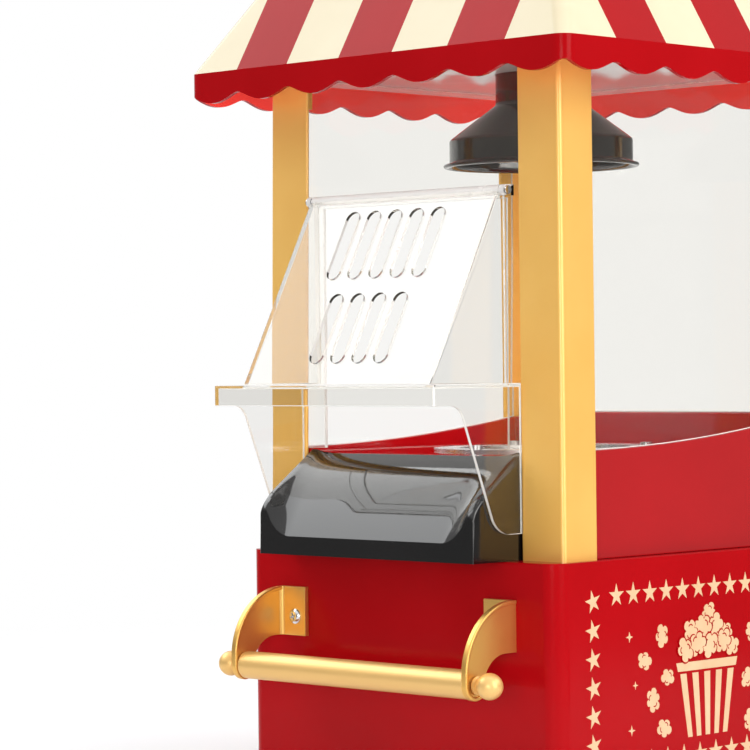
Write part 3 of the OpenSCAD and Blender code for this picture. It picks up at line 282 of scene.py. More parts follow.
# each finish: two shades and the scale of their patches, roughness from clean to dull, relief, and the
# shader's own values
finishes = {
    "red_gloss": {
        "shades": ((0.36, 0.002, 0.004), (0.42, 0.003, 0.006)), "patches": 9, "rough": (0.10, 0.16),
        **moulded, "values": {"Specular IOR Level": 0.07, "Coat Weight": 0.02, "Coat Roughness": 0.03},
    },
    "red_deck": {
        "shades": ((0.38, 0.003, 0.005), (0.44, 0.004, 0.007)), "patches": 9, "rough": (0.04, 0.09),
        **moulded, "values": {"Coat Weight": 0.5, "Coat Roughness": 0.03},
    },
    "gold_satin": {
        "shades": ((0.94, 0.51, 0.10), (0.98, 0.58, 0.135)), "patches": 14, "rough": (0.40, 0.48),
        "ripple": 70, "grain": 5200, "grainShare": 0.7, "relief": 0.10, "depth": 0.0002,
        "values": {"Metallic": 0.3, "Coat Weight": 0.5, "Coat IOR": 1.7, "Coat Roughness": 0.16},
    },
    "gold_bar": {
        "shades": ((0.80, 0.49, 0.15), (0.88, 0.56, 0.20)), "patches": 20, "rough": (0.40, 0.48),
        **brushed, "stretch": (0.12, 1, 1),
        "values": {"Metallic": 0.5, "Coat Weight": 0.2, "Coat Roughness": 0.25},
    },
    # partly painted shade: darker than the posts' gold, for the dim inner faces of the brackets, and more
    # metallic
    "gold_bracket_painted_shade": {
        "shades": ((0.78, 0.44, 0.105), (0.86, 0.52, 0.15)), "patches": 20, "rough": (0.30, 0.38),
        **brushed, "values": {"Metallic": 0.8},
    },
    "black_gloss": {
        "shades": ((0.004, 0.004, 0.004), (0.007, 0.006, 0.006)), "patches": 12, "rough": (0.05, 0.10),
        "ripple": 38, "grain": 1500, "grainShare": 0.1, "relief": 0.05, "depth": 0.0005,
        "values": {"IOR": 1.58},
    },
    "bell_grey": {
        "shades": ((0.015, 0.013, 0.010), (0.023, 0.020, 0.016)), "patches": 16, "rough": (0.03, 0.06),
        "ripple": 40, "grain": 2400, "grainShare": 0.4, "relief": 0.05, "depth": 0.0003,
        "values": {"Specular IOR Level": 1.0},
    },
    "black_matt": {
        "shades": ((0.014, 0.014, 0.015), (0.028, 0.027, 0.027)), "patches": 20, "rough": (0.48, 0.62),
        "ripple": 90, "grain": 3600, "grainShare": 0.8, "relief": 0.25, "depth": 0.0002,
    },
    "rubber": {
        "shades": ((0.018, 0.018, 0.018), (0.035, 0.034, 0.033)), "patches": 24, "rough": (0.7, 0.85),
        "ripple": 120, "grain": 2600, "grainShare": 0.7, "relief": 0.35, "depth": 0.0002,
        "values": {"Specular IOR Level": 0.3},
    },
    "zinc_steel": {
        "shades": ((0.50, 0.51, 0.53), (0.66, 0.67, 0.68)), "patches": 60, "rough": (0.26, 0.42),
        "ripple": 150, "grain": 4000, "grainShare": 0.6, "relief": 0.15, "depth": 0.0001,
        "values": {"Metallic": 1.0},
    },
    "chrome": {
        "shades": ((0.72, 0.72, 0.74), (0.80, 0.80, 0.81)), "patches": 60, "rough": (0.08, 0.16),
        "ripple": 180, "grain": 3000, "grainShare": 0.3, "relief": 0.05, "depth": 0.0001,
        "values": {"Metallic": 1.0},
    },
    "spun_aluminium": {
        "shades": ((0.66, 0.67, 0.68), (0.80, 0.80, 0.81)), "patches": 30, "rough": (0.24, 0.36),
        "ripple": 60, "grain": 2600, "grainShare": 0.75, "relief": 0.2, "depth": 0.0001,
        "stretch": (1, 1, 14), "values": {"Metallic": 1.0},
    },
    "mica": {
        "shades": ((0.36, 0.28, 0.14), (0.56, 0.46, 0.28)), "patches": 60, "rough": (0.35, 0.5),
        "ripple": 150, "grain": 1800, "grainShare": 0.4, "relief": 0.2, "depth": 0.0001,
    },
    "heater_wire": {
        "shades": ((0.10, 0.085, 0.08), (0.24, 0.2, 0.18)), "patches": 120, "rough": (0.4, 0.55),
        "ripple": 200, "grain": 3000, "grainShare": 0.5, "relief": 0.2, "depth": 0.0001,
        "values": {"Metallic": 0.8},
    },
    "cream_plastic": {
        "shades": ((0.52, 0.49, 0.41), (0.62, 0.59, 0.50)), "patches": 30, "rough": (0.38, 0.5),
        "ripple": 80, "grain": 2600, "grainShare": 0.5, "relief": 0.12, "depth": 0.0002,
    },
    "green_board": {
        "shades": ((0.012, 0.11, 0.03), (0.03, 0.19, 0.06)), "patches": 90, "rough": (0.3, 0.42),
        "ripple": 120, "grain": 2600, "grainShare": 0.4, "relief": 0.15, "depth": 0.0001,
        "values": {"Coat Weight": 0.3},
    },
    "cream_stripe": {
        "shades": ((0.74, 0.64, 0.43), (0.80, 0.71, 0.50)), "patches": 12, "rough": (0.18, 0.26),
        **moulded, "relief": 0.05, "values": {"Specular IOR Level": 0.2},
    },
    "tan_print": {
        "shades": ((0.72, 0.46, 0.25), (0.80, 0.55, 0.32)), "patches": 60, "rough": (0.3, 0.42),
        "ripple": 90, "grain": 2600, "grainShare": 0.6, "relief": 0.1, "depth": 0.0001,
        "values": {"Coat Weight": 0.3, "Coat Roughness": 0.15},
    },
    # painted light: the roof's inside is a much paler red than its outside, for the light it gets
    "red_inside_painted_light": {
        "shades": ((0.96, 0.055, 0.052), (0.99, 0.068, 0.062)), "patches": 9, "rough": (0.22, 0.32),
        **moulded,
        "values": {
            "Specular IOR Level": 0.2,
            # painted light: a faint glow that stands in for the light the thin roof lets through
            "Emission Color": (0.9, 0.09, 0.07, 1), "Emission Strength": 0.2,
        },
    },
}


def groupOutput(tree, group, vector, values):
    node = addNode(tree, "ShaderNodeGroup", {"Vector": vector, **values}, node_tree=group)
    return node.outputs[0]


def addSurface(tree, vector, look, smudgesAt):
    # roughness that smudges vary, and a relief of ripple and grain
    clean, dull = look["rough"]
    rough = groupOutput(tree, smudges, vector, {"Scale": smudgesAt, "Clean": clean, "Dull": dull})
    height = groupOutput(tree, grain, vector, {
        "Ripple Scale": look["ripple"], "Grain Scale": look["grain"], "Grain Share": look["grainShare"]})
    bump = addNode(tree, "ShaderNodeBump",
                   {"Height": height, "Strength": look["relief"], "Distance": look["depth"]})
    feed(tree, tree.nodes["Principled BSDF"], {"Roughness": rough, "Normal": bump.outputs["Normal"]})


def finishMaterial(name):
    look = finishes[name]
    material, tree, shader = newMaterial(name)
    place = tree.nodes.new("ShaderNodeTexCoord").outputs["Object"]
    stretch = look.get("stretch", (1, 1, 1))
    vector = addNode(tree, "ShaderNodeMapping", {"Vector": place, "Scale": stretch}).outputs["Vector"]
    shade, light = look["shades"]
    color = groupOutput(tree, tint, vector,
                        {"Scale": look["patches"], "Shade": (*shade, 1), "Light": (*light, 1)})
    addSurface(tree, vector, look, look["patches"] * smudgeScale)
    feed(tree, shader, {"Base Color": color, **look.get("values", {})})
    return material


# clear sheets: colour, how strongly they bend light, roughness, the relief's ripple and strength, how much
# of the light goes through, and a glossy coat
clearLooks = {
    "clear_pane": {
        "color": (0.970, 0.964, 0.942), "ior": 1.33, "rough": (0.0, 0.03), "ripple": 6, "relief": 0.004,
    },
    "clear_hood": {  # bends light as a thinner sheet would, and its coat gives back the gloss
        "color": (0.895, 0.888, 0.868), "ior": 1.2, "rough": (0.0, 0.02), "ripple": 30, "relief": 0.02,
        "coat": 0.4,
    },
    # painted highlight: a pale, mostly diffuse sheet for the cut edges, for the light they catch
    "clear_edge_painted_highlight": {
        "color": (0.90, 0.885, 0.85), "ior": 1.2, "rough": (0.2, 0.3), "ripple": 60, "relief": 0.05,
        "through": 0.25,
    },
    # painted shade: a dark sheet for the rounded ends of the hood's slots
    "clear_slot_painted_shade": {
        "color": (0.30, 0.28, 0.24), "ior": 1.2, "rough": (0.1, 0.2), "ripple": 60, "relief": 0.05,
        "through": 0.8,
    },
    "ceiling_sheet": {
        "color": (0.99, 0.97, 0.95), "ior": 1.33, "rough": (0.03, 0.12), "ripple": 12, "relief": 0.5,
        "through": 0.25,
    },
}
sheetSurface = {"patches": 14, "grain": 900, "grainShare": 0.04, "depth": 0.0005, "lampShare": 0.97}


def clearMaterial(name):
    # a clear sheet bends what is behind it, and lamps shine through it
    look = {**sheetSurface, **clearLooks[name]}
    material, tree, shader = newMaterial(name)
    feed(tree, shader, {
        "Base Color": (*look["color"], 1), "IOR": look["ior"],
        "Transmission Weight": look.get("through", 1.0), "Coat Weight": look.get("coat", 0.0)})
    place = tree.nodes.new("ShaderNodeTexCoord").outputs["Object"]
    addSurface(tree, place, look, look["patches"])
    passed = (*[c * look["lampShare"] for c in look["color"]], 1)
    lamps = addNode(tree, "ShaderNodeBsdfTransparent", {"Color": passed})
    path = tree.nodes.new("ShaderNodeLightPath").outputs
    mix = addNode(tree, "ShaderNodeMixShader",
                  {0: path["Is Shadow Ray"], 1: shader.outputs[0], 2: lamps.outputs[0]})
    feed(tree, tree.nodes["Material Output"], {"Surface": mix.outputs[0]})
    return material


materials = {name: finishMaterial(name) for name in finishes}
materials.update({name: clearMaterial(name) for name in clearLooks})
finishOf = {
    "red_housing": "red_gloss", "clear_pane": "clear_pane", "gold_post": "gold_satin",
    "gold_metal": "gold_satin", "black_plastic": "black_gloss", "dark_bell": "bell_grey",
    "black_matte": "black_matt", "rubber": "rubber", "steel": "zinc_steel", "chrome": "chrome",
    "aluminium": "spun_aluminium", "mica": "mica", "wire": "heater_wire",
    "fan_plastic": "cream_plastic", "board": "green_board", "terminal": "cream_plastic",
}
# pieces whose finish isn't their slot's
ownFinish = {"outlet_hood": "clear_hood", "ceiling_plate": "ceiling_sheet", "hopper_deck": "red_deck"}
print("materials made:", len(materials))

makeCamera()
makeLamps()
makeWorld()
makeFloor()
print("studio set up")


# helpers for the pieces
def makePiece(name, bm, body, looks, stands=(), sharp=32, outward=True):
    if outward:
        bm.normal_update()
        bmesh.ops.recalc_face_normals(bm, faces=bm.faces)
    for face in bm.faces:
        face.smooth = True
    for edge in bm.edges:
        if len(edge.link_faces) == 2:
            edge.smooth = edge.calc_face_angle(0) < math.radians(sharp)
    mesh = bpy.data.meshes.new(name)
    bm.to_mesh(mesh)
    bm.free()
    for look in looks:
        mesh.materials.append(materials[look])
    piece = bpy.data.objects.new(name, mesh)
    scene.collection.objects.link(piece)
    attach(piece, body)
    if stands:
        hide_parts(*stands)
    even = piece.modifiers.new("even_normals", "WEIGHTED_NORMAL")
    even.keep_sharp = True
    return piece


def crispEdges(bm, turn=35, shortest=0):
    return [e for e in bm.edges if len(e.link_faces) == 2 and e.calc_face_angle(0) > math.radians(turn)
            and e.calc_length() > shortest]


def arc(centre, radius, start, end, steps):
    # points along a part of a circle, between two angles in degrees
    angles = [math.radians(start + (end - start) * i / steps) for i in range(steps + 1)]
    return [(centre[0] + radius * math.cos(a), centre[1] + radius * math.sin(a)) for a in angles]


def roundEdges(bm, edges, radius, steps=2, clamp=False):
    return bmesh.ops.bevel(bm, geom=edges, offset=radius, offset_type="OFFSET", affect="EDGES",
                           segments=steps, profile=0.5, material=-1, clamp_overlap=clamp)


def copyOf(node):
    # a solid's loose triangles merged, and each flat area made one face
    bm = bmesh.new()
    bm.from_mesh(frame["nodes"][node].data)
    bmesh.ops.remove_doubles(bm, verts=bm.verts, dist=2e-6)
    bmesh.ops.dissolve_limit(bm, angle_limit=math.radians(0.6), verts=bm.verts, edges=bm.edges)
    return bm


# pieces whose solids keep their shape, with their edges rounded: radius in mm, shortest edge to round in mm
roundings = {
    "base_housing": (1.0, 8), "hopper_deck": (0.6, 2), "bottom_cover": (0.6, 20), "rubber_feet": (1.2, 0),
    "cord_gland": (0.6, 0), "switch_frame": (0.8, 4), "switch_rocker": (0.5, 3),
    "post_front_left": (0.9, 30), "post_front_right": (0.9, 30),
    "post_back_left": (0.9, 30), "post_back_right": (0.9, 30),
    "window_left": (0.3, 10), "window_right": (0.3, 10), "window_back": (0.3, 10),
    "window_front": (0.3, 10), "ceiling_plate": (0.3, 20), "outlet_hood": (0.35, 4),
    "hood_hinge_pins": (0.15, 0), "popping_chamber": (0.3, 4),
}


# where the clear sheets get painted light: a painted highlight on their cut edges, and painted shade on the
# rounded ends of the hood's slots
sheets = {
    "thickest": 2.3, "slotSpan": 68, "slotLow": 203, "slotHigh": 283, "straightWall": 8,
    "hinge": (-99.3, 288.4), "hingeRadius": 3,
}


def paintSheetEdgeLight(bm, node):
    broad = max(bm.faces, key=lambda f: f.calc_area()).normal.copy()
    for face in bm.faces:
        longest = max(e.calc_length() for e in face.edges)
        if face.calc_area() / longest > sheets["thickest"] * mm:
            continue
        spot = face.calc_center_median() / mm
        if math.dist((spot.y, spot.z), sheets["hinge"]) < sheets["hingeRadius"]:
            continue
        inSlot = node == "outlet_hood" and abs(spot.x) < sheets["slotSpan"] \
            and sheets["slotLow"] < spot.z < sheets["slotHigh"]
        if inSlot and abs(face.normal.dot(broad)) > 0.9:
            continue
        # 1: painted highlight on a cut edge, 2: painted shade on a rounded slot end
        face.material_index = 1 if not inSlot or longest > sheets["straightWall"] * mm else 2


def makeRoundedPieces():
    for node, (radius, shortest) in roundings.items():
        bm = copyOf(node)
        roundEdges(bm, crispEdges(bm, shortest=shortest * mm), radius * mm)
        slot = slotOf[node]
        looks = [ownFinish.get(node, finishOf[slot])]
        if slot == "clear_pane":
            # clear sheets: painted highlight on their cut edges and painted shade at the slot ends
            paintSheetEdgeLight(bm, node)
            looks += ["clear_edge_painted_highlight", "clear_slot_painted_shade"]
        makePiece(node + "_piece", bm, bodyOf[node], looks, [node], outward=False)
    print("rounded pieces:", len(roundings))


def vertsIn(geom):
    return [v for v in geom if isinstance(v, bmesh.types.BMVert)]


def extrudeFaces(bm, faces, offset):
    made = bmesh.ops.extrude_face_region(bm, geom=faces)["geom"]
    bmesh.ops.translate(bm, verts=vertsIn(made), vec=offset)
    return [f for f in made if isinstance(f, bmesh.types.BMFace)]


def slab(points, axis, start, thick):
    # a flat shape across an axis, given by its corners in mm and drawn out along the axis
    bm = bmesh.new()
    made = []
    for a, b in points:
        place = [a * mm, b * mm]
        place.insert(axis, start * mm)
        made.append(bm.verts.new(place))
    offset = [0, 0, 0]
    offset[axis] = thick * mm
    extrudeFaces(bm, [bm.faces.new(made)], offset)
    bmesh.ops.recalc_face_normals(bm, faces=bm.faces)
    return bm


def joinInto(bm, part):
    spare = bpy.data.meshes.new("spare")
    part.to_mesh(spare)
    part.free()
    bm.from_mesh(spare)
    bpy.data.meshes.remove(spare)


def spinProfile(bm, points, steps, centre, axis=(0, 0, 1), closed=False):
    # turns a profile of (radius, height) points all the way round the axis
    turn = Vector((0, 0, 1)).rotation_difference(Vector(axis)).to_matrix()
    verts = [bm.verts.new(Vector(centre) + turn @ Vector((r * mm, 0, h * mm))) for r, h in points]
    edges = [bm.edges.new(pair) for pair in zip(verts, verts[1:] + (verts[:1] if closed else []))]
    bmesh.ops.spin(bm, geom=verts + edges, cent=centre, axis=axis, angle=math.tau, steps=steps,
                   use_merge=True)
    bmesh.ops.remove_doubles(bm, verts=bm.verts, dist=1e-6)
    # a profile that runs along the axis leaves a loose edge there
    bmesh.ops.delete(bm, geom=[e for e in bm.edges if e.is_wire], context="EDGES")


# the roof: striped slopes over a scalloped valance
canopy = {
    "topHalf": 100, "hipRound": 6, "topRound": 4, "wall": 2.4, "scallops": 7,
    "valance": 11, "stepsPerScallop": 18, "notchRound": 0.30,
}


def makeRoof():
    low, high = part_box("roof_canopy")
    half = high.x
    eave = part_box("ceiling_plate")[1].z
    bm = bmesh.new()
    bmesh.ops.create_cube(bm, size=1)
    bmesh.ops.scale(bm, vec=(2 * half, 2 * half, high.z - eave), verts=bm.verts)
    bmesh.ops.translate(bm, verts=bm.verts, vec=(0, 0, (high.z + eave) / 2))
    top = [v for v in bm.verts if v.co.z > eave + 0.01]
    share = canopy["topHalf"] * mm / half
    bmesh.ops.scale(bm, vec=(share, share, 1), verts=top)
    hips = [e for e in bm.edges if abs(e.verts[0].co.z - e.verts[1].co.z) > 0.01]
    roundEdges(bm, hips, canopy["hipRound"] * mm, 5)
    rim = [e for e in bm.edges if all(v.co.z > high.z - 1e-5 for v in e.verts)]
    roundEdges(bm, rim, canopy["topRound"] * mm, 4)
    floor = [f for f in bm.faces if f.normal.z < -0.9]
    bmesh.ops.delete(bm, geom=floor, context="FACES")
    # stripes: one to a scallop, cream at the corners
    count = canopy["scallops"]
    width = 2 * half / count
    for i in range(1, count):
        for side in (Vector((1, 0, 0)), Vector((0, 1, 0))):
            parts = bm.verts[:] + bm.edges[:] + bm.faces[:]
            bmesh.ops.bisect_plane(bm, geom=parts, dist=1e-6, plane_no=side,
                                   plane_co=side * (i * width - half))
    bm.normal_update()
    plainHalf = (canopy["topHalf"] - canopy["topRound"]) * mm
    for face in bm.faces:
        spot = face.calc_center_median()
        along = spot.y if abs(face.normal.x) > abs(face.normal.y) else spot.x
        stripe = int((along + half) / width)
        onTop = face.normal.z > 0.999 and max(abs(spot.x), abs(spot.y)) < plainHalf
        face.material_index = 1 if stripe % 2 == 0 and not onTop else 0
    # valance: the eave's loop drawn down, its lower edge cut in scallops
    loop = [e for e in bm.edges if e.is_boundary]
    copied = bmesh.ops.duplicate(bm, geom=list({v for e in loop for v in e.verts}) + loop)["geom"]
    straight = [e for e in copied if isinstance(e, bmesh.types.BMEdge) and e.calc_length() > width / 2]
    bmesh.ops.subdivide_edges(bm, edges=straight, cuts=canopy["stepsPerScallop"] - 1)
    hem = [e for e in bm.edges if e.is_wire]
    drawn = bmesh.ops.extrude_edge_only(bm, edges=hem)["geom"]
    soft = canopy["notchRound"]
    flat = math.sqrt(1 + soft * soft) - soft
    notch = eave - canopy["valance"] * mm
    depth = notch - low.z
    for vert in vertsIn(drawn):
        along = vert.co.y if abs(vert.co.x) > abs(vert.co.y) else vert.co.x
        wave = math.sin(math.pi * (along + half) / width)
        vert.co.z = notch - depth * (math.sqrt(wave * wave + soft * soft) - soft) / flat
    bmesh.ops.translate(bm, verts=bm.verts, vec=(0, axisY, 0))
    bmesh.ops.recalc_face_normals(bm, faces=bm.faces)
    outer = set(bm.faces)
    bmesh.ops.solidify(bm, geom=list(outer), thickness=canopy["wall"] * mm)
    # the hem keeps the outer red, and the inner faces take the paler red with painted light
    for face in set(bm.faces) - outer:
        onHem = any(other in outer for edge in face.edges for other in edge.link_faces)
        face.material_index = 0 if onHem else 2
    makePiece("roof_canopy_piece", bm, "base", ["red_gloss", "cream_stripe", "red_inside_painted_light"],
              ["roof_canopy"], sharp=28)


# the bell that sends falling corn outwards, spun from its section
bell = {
    "rim": (49.1, 306.0),  # radius and height
    "hem": 0.9, "foot": 1.4, "wall": 46.0, "wallTop": 321.0, "shoulder": 2.2, "neck": 22.5,
    "coneTop": 337.0, "neckFoot": 2.4, "flare": 2.0, "thick": 1.8, "steps": 96,
}


def makeBell():
    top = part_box("bell_baffle")[1].z / mm
    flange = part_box("filler_collar")[1].x / mm
    thick, wall, neck, flare = bell["thick"], bell["wall"], bell["neck"], bell["flare"]
    hem, foot, shoulder, neckFoot = bell["hem"], bell["foot"], bell["shoulder"], bell["neckFoot"]
    wallTop, coneTop = bell["wallTop"], bell["coneTop"]
    rimR, rimZ = bell["rim"]
    outside = (
        arc((rimR - hem, rimZ + hem), hem, -90, 90, 6)  # rolled rim
        + arc((wall + foot, rimZ + 2 * hem + foot), foot, 270, 180, 4)
        + arc((wall - shoulder, wallTop - shoulder), shoulder, 0, 55, 5)
        + arc((neck + neckFoot, coneTop + thick), neckFoot, 236, 180, 5)
        + [(neck, top - 2 * flare - 0.5)]
        + arc((neck + flare, top - 2 * flare), flare, 180, 90, 4)
        + [(flange - 0.4, top - flare), (flange, top - flare + 0.4), (flange, top)]
    )
    inside = [
        (neck - thick, top), (neck - thick, coneTop - 0.6), (wall - thick - 1.0, wallTop - thick),
        (wall - thick, wallTop - thick - 1.2), (wall - thick, rimZ + 3.0), (wall - thick + 0.8, rimZ + 1.2),
        (rimR - 2.2, rimZ),
    ]
    bm = bmesh.new()
    spinProfile(bm, outside + inside, bell["steps"], (0, axisY, 0), closed=True)
    makePiece("bell_baffle_piece", bm, "base", ["bell_grey"], ["bell_baffle"], sharp=40)


# the filler's collar and its measuring cap
filler = {
    "collarWall": 6.4, "collarRound": 1.2, "capWall": 2.0, "capRound": 2.6, "skirt": 3.4, "grip": 0.7,
    "dish": (17.5, 0.9),  # radius and depth of the hollow in the cap's top
    "ribInset": 0.25, "ribRise": 0.45, "steps": 96,
}


def makeFiller():
    low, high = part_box("filler_collar")
    out, bottom, top = high.x / mm, low.z / mm, high.z / mm
    inner, r = out - filler["collarWall"], filler["collarRound"]
    bm = bmesh.new()
    profile = [(inner, bottom), (out, bottom)] + arc((out - r, top - r), r, 0, 90, 4)
    profile += arc((inner + r, top - r), r, 90, 180, 4)
    spinProfile(bm, profile, filler["steps"], (0, axisY, 0), closed=True)
    makePiece("filler_collar_piece", bm, "base", ["red_gloss"], ["filler_collar"], sharp=40)
    low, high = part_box("filler_cap")
    out, bottom, top = high.x / mm, low.z / mm, high.z / mm
    r, wall, skirt = filler["capRound"], filler["capWall"], bottom + filler["skirt"]
    side = out - filler["grip"]
    dish, sunk = filler["dish"]
    bm = bmesh.new()
    profile = [
        (out - wall, bottom + 0.3), (out - wall + 0.3, bottom), (out - 0.4, bottom), (out, bottom + 0.4),
        (out, skirt), (side, skirt + 0.8), (side, top - r - 1.5),
    ]
    profile += arc((side - r, top - r), r, 0, 90, 6)
    profile += [(dish, top), (dish - 1.1, top - sunk), (0, top - sunk)]
    under = top - wall
    profile += [(0, under - sunk), (out - wall - 1.5, under - 0.6), (out - wall, under - 1.8)]
    spinProfile(bm, profile, filler["steps"], (0, axisY, 0), closed=True)
    # grip ribs on every other strip of the cap's side
    chosen = []
    for face in bm.faces:
        spot = face.calc_center_median() - Vector((0, axisY, 0))
        upright = abs(face.normal.z) < 0.2 and spot.z > skirt * mm and face.calc_area() > 1e-5
        strip = int((math.atan2(spot.y, spot.x) + math.pi) / math.tau * filler["steps"])
        if upright and spot.xy.length > (side - filler["grip"]) * mm and strip % 2 == 0:
            chosen.append(face)
    bmesh.ops.inset_individual(bm, faces=chosen, thickness=filler["ribInset"] * mm,
                               depth=filler["ribRise"] * mm)
    makePiece("filler_cap_piece", bm, "cap", ["red_gloss"], ["filler_cap"], sharp=40)


# the chute: a dished tray whose rims roll over at the nose
chute = {
    "nose": 140.5, "noseRound": 9, "noseRows": 0.4, "noseDrop": 0.55, "lip": 124, "back": 163.5,
    "backRim": 165.3, "rimWide": 5.6, "corner": 15, "slope": 0.25, "steepness": 0.5, "edge": 1.6,
    "cornerRound": 2.6, "rimRound": 0.9, "wall": 2.4, "columns": 96, "rows": 64,
}


def makeChute():
    low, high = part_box("popcorn_chute")
    half = high.x / mm
    reach, backY = low.y / mm, high.y / mm
    depth = backY - reach
    fall = chute["back"] - chute["lip"]
    bm = bmesh.new()
    bmesh.ops.create_grid(bm, x_segments=chute["columns"], y_segments=chute["rows"], size=0.5)
    for vert in bm.verts:
        across = vert.co.x * 2 * half
        row = 0.5 - vert.co.y  # 0 at the back, 1 at the lip, with rows closer together round the nose
        straight, bend = 1 - chute["noseRows"], chute["noseRound"] / depth
        turn = max(0.0, (row - straight) / chute["noseRows"]) * math.pi / 2
        out = min(1.0, row / straight) * (1 - bend) + bend * math.sin(turn)
        floor = chute["back"] - fall * (chute["steepness"] * out + (1 - chute["steepness"]) * out ** 3)
        rim = chute["backRim"] + (chute["nose"] - chute["backRim"]) * out
        rim -= chute["noseRound"] * chute["noseDrop"] * (1 - math.cos(turn))
        # how far up the side wall: 0 in the channel, 1 on the rim
        span, slope = chute["corner"], chute["slope"]
        climb = (abs(across) - (half - chute["rimWide"] - span)) / span
        climb = min(1.0, max(0.0, climb))
        rise = 1 - math.sqrt(1 - climb * climb)
        rise = rise * (1 - slope * climb) + slope * climb * climb
        edge = max(0.0, (abs(across) - (half - chute["edge"])) / chute["edge"])
        height = floor + (rim - floor) * rise - chute["edge"] * (1 - math.sqrt(max(0.0, 1 - edge * edge)))
        vert.co = Vector((across * mm, (backY - out * depth) * mm, height * mm))
    sides = [e for e in bm.edges if e.is_boundary]
    drawn = bmesh.ops.extrude_edge_only(bm, edges=sides)["geom"]
    for vert in vertsIn(drawn):
        vert.co.z = low.z

    def awayFromBack():  # the back edge meets the deck and stays sharp
        return [e for e in crispEdges(bm, turn=50) if abs(e.verts[0].co.y - high.y) > 0.001]

    upright = [e for e in awayFromBack() if e.verts[0].co.z > low.z + 0.002
               and abs(e.verts[0].co.z - e.verts[1].co.z) > 0.004]
    roundEdges(bm, upright, chute["cornerRound"] * mm, 7)
    roundEdges(bm, awayFromBack(), chute["rimRound"] * mm, 4)
    # an open shell can come out facing inwards
    bmesh.ops.recalc_face_normals(bm, faces=bm.faces)
    upward = [f for f in bm.faces if f.normal.z > 0.5]
    if sum(f.calc_area() for f in upward) < 1e-3:
        bmesh.ops.reverse_faces(bm, faces=bm.faces)
    bmesh.ops.solidify(bm, geom=bm.faces[:], thickness=chute["wall"] * mm)
    makePiece("popcorn_chute_piece", bm, "base", ["black_gloss"], ["popcorn_chute"],
              sharp=38)


# the handle: two pressed brackets with a bent flange, a bar and its ball ends
handle = {
    "plate": 3.5, "edge": 0.4, "recess": 0.8, "step": 0.6, "bead": 2.0, "beadRound": 0.85,
    "outerRound": 33, "innerRound": 15, "bossTurn": 25, "flange": 2.5, "flangeWide": 19,
    "flangeHigh": 24.2, "flangeEdge": 0.35, "root": 3, "overlap": 0.12, "bend": 2.2, "fold": 2.6,
    "bar": 13.5, "shoulder": 1.1, "ball": 6.2, "collar": 4.4, "neck": 3.1,
}


def makeBracket(side):
    name = "handle_bracket_left" if side < 0 else "handle_bracket_right"
    low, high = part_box(name)
    barLow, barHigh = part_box("handle_bar")
    barY, barZ = (barLow.y + barHigh.y) / 2 / mm, (barLow.z + barHigh.z) / 2 / mm
    frontY, top = high.y / mm, high.z / mm
    plateOut = max(abs(low.x), abs(high.x)) / mm
    plateIn = plateOut - handle["plate"]
    boss = barY - low.y / mm
    flangeLow = top - handle["flangeHigh"]
    big = handle["outerRound"]

    def outerCurve(inset):  # round under the bar, up, and over to the base
        under = arc((barY, barZ), boss - inset, 330, 180, 18)
        over = arc((barY - boss + big, top - big), big - inset, 180, 90, 26)
        return under + over + [(frontY, top - inset)]

    # the inner curve: from the flange's foot round to the boss
    small = handle["innerRound"]
    turn = math.radians(handle["bossTurn"])
    meetY, meetZ = barY + boss * math.cos(turn), barZ + boss * math.sin(turn)
    centre = (meetY + small * math.cos(turn), flangeLow - small)
    inner = [(frontY, flangeLow)] + arc(centre, small, 90, 180 + math.degrees(turn) * 0.4, 14)
    inner.append((meetY, meetZ))
    plate = slab(outerCurve(handle["step"]) + inner, 0, plateIn + handle["recess"],
                 handle["plate"] - 2 * handle["recess"])
    roundEdges(plate, crispEdges(plate, turn=60), handle["edge"] * mm, clamp=True)
    bead = slab(outerCurve(0) + outerCurve(handle["bead"])[::-1], 0, plateIn, handle["plate"])
    roundEdges(bead, crispEdges(bead, turn=60), handle["beadRound"] * mm, 4, clamp=True)
    # flange with the bend's outer radius
    wide, thick = handle["flangeWide"], handle["flange"]
    buried = handle["recess"] + handle["overlap"]  # the flange's root lies just inside the plate
    flangeOut, flangeIn = plateOut - buried, plateIn + buried
    backY = frontY - thick
    rootY = backY - handle["root"]
    corners = [(flangeOut, rootY), (flangeOut, frontY), (plateOut - wide, frontY),
               (plateOut - wide, backY), (flangeIn, backY), (flangeIn, rootY)]
    flange = slab(corners, 2, flangeLow, handle["flangeHigh"])
    upright = [e for e in flange.edges if abs(e.verts[0].co.z - e.verts[1].co.z) > 0.01]
    bend = [e for e in upright if (e.verts[0].co / mm - Vector((flangeOut, frontY, 0))).xy.length < 0.01]
    fold = [e for e in upright if (e.verts[0].co / mm - Vector((flangeIn, backY, 0))).xy.length < 0.01]
    roundEdges(flange, bend, handle["bend"] * mm, 5)
    roundEdges(flange, fold, handle["fold"] * mm, 6)
    roundEdges(flange, crispEdges(flange, turn=60), handle["flangeEdge"] * mm, clamp=True)
    bm = bmesh.new()
    for part in (plate, bead, flange):
        joinInto(bm, part)
    if side < 0:
        bmesh.ops.scale(bm, vec=(-1, 1, 1), verts=bm.verts)
    # the brackets take the darker gold with painted shade
    makePiece(name + "_piece", bm, "base", ["gold_bracket_painted_shade"], [name], sharp=40)


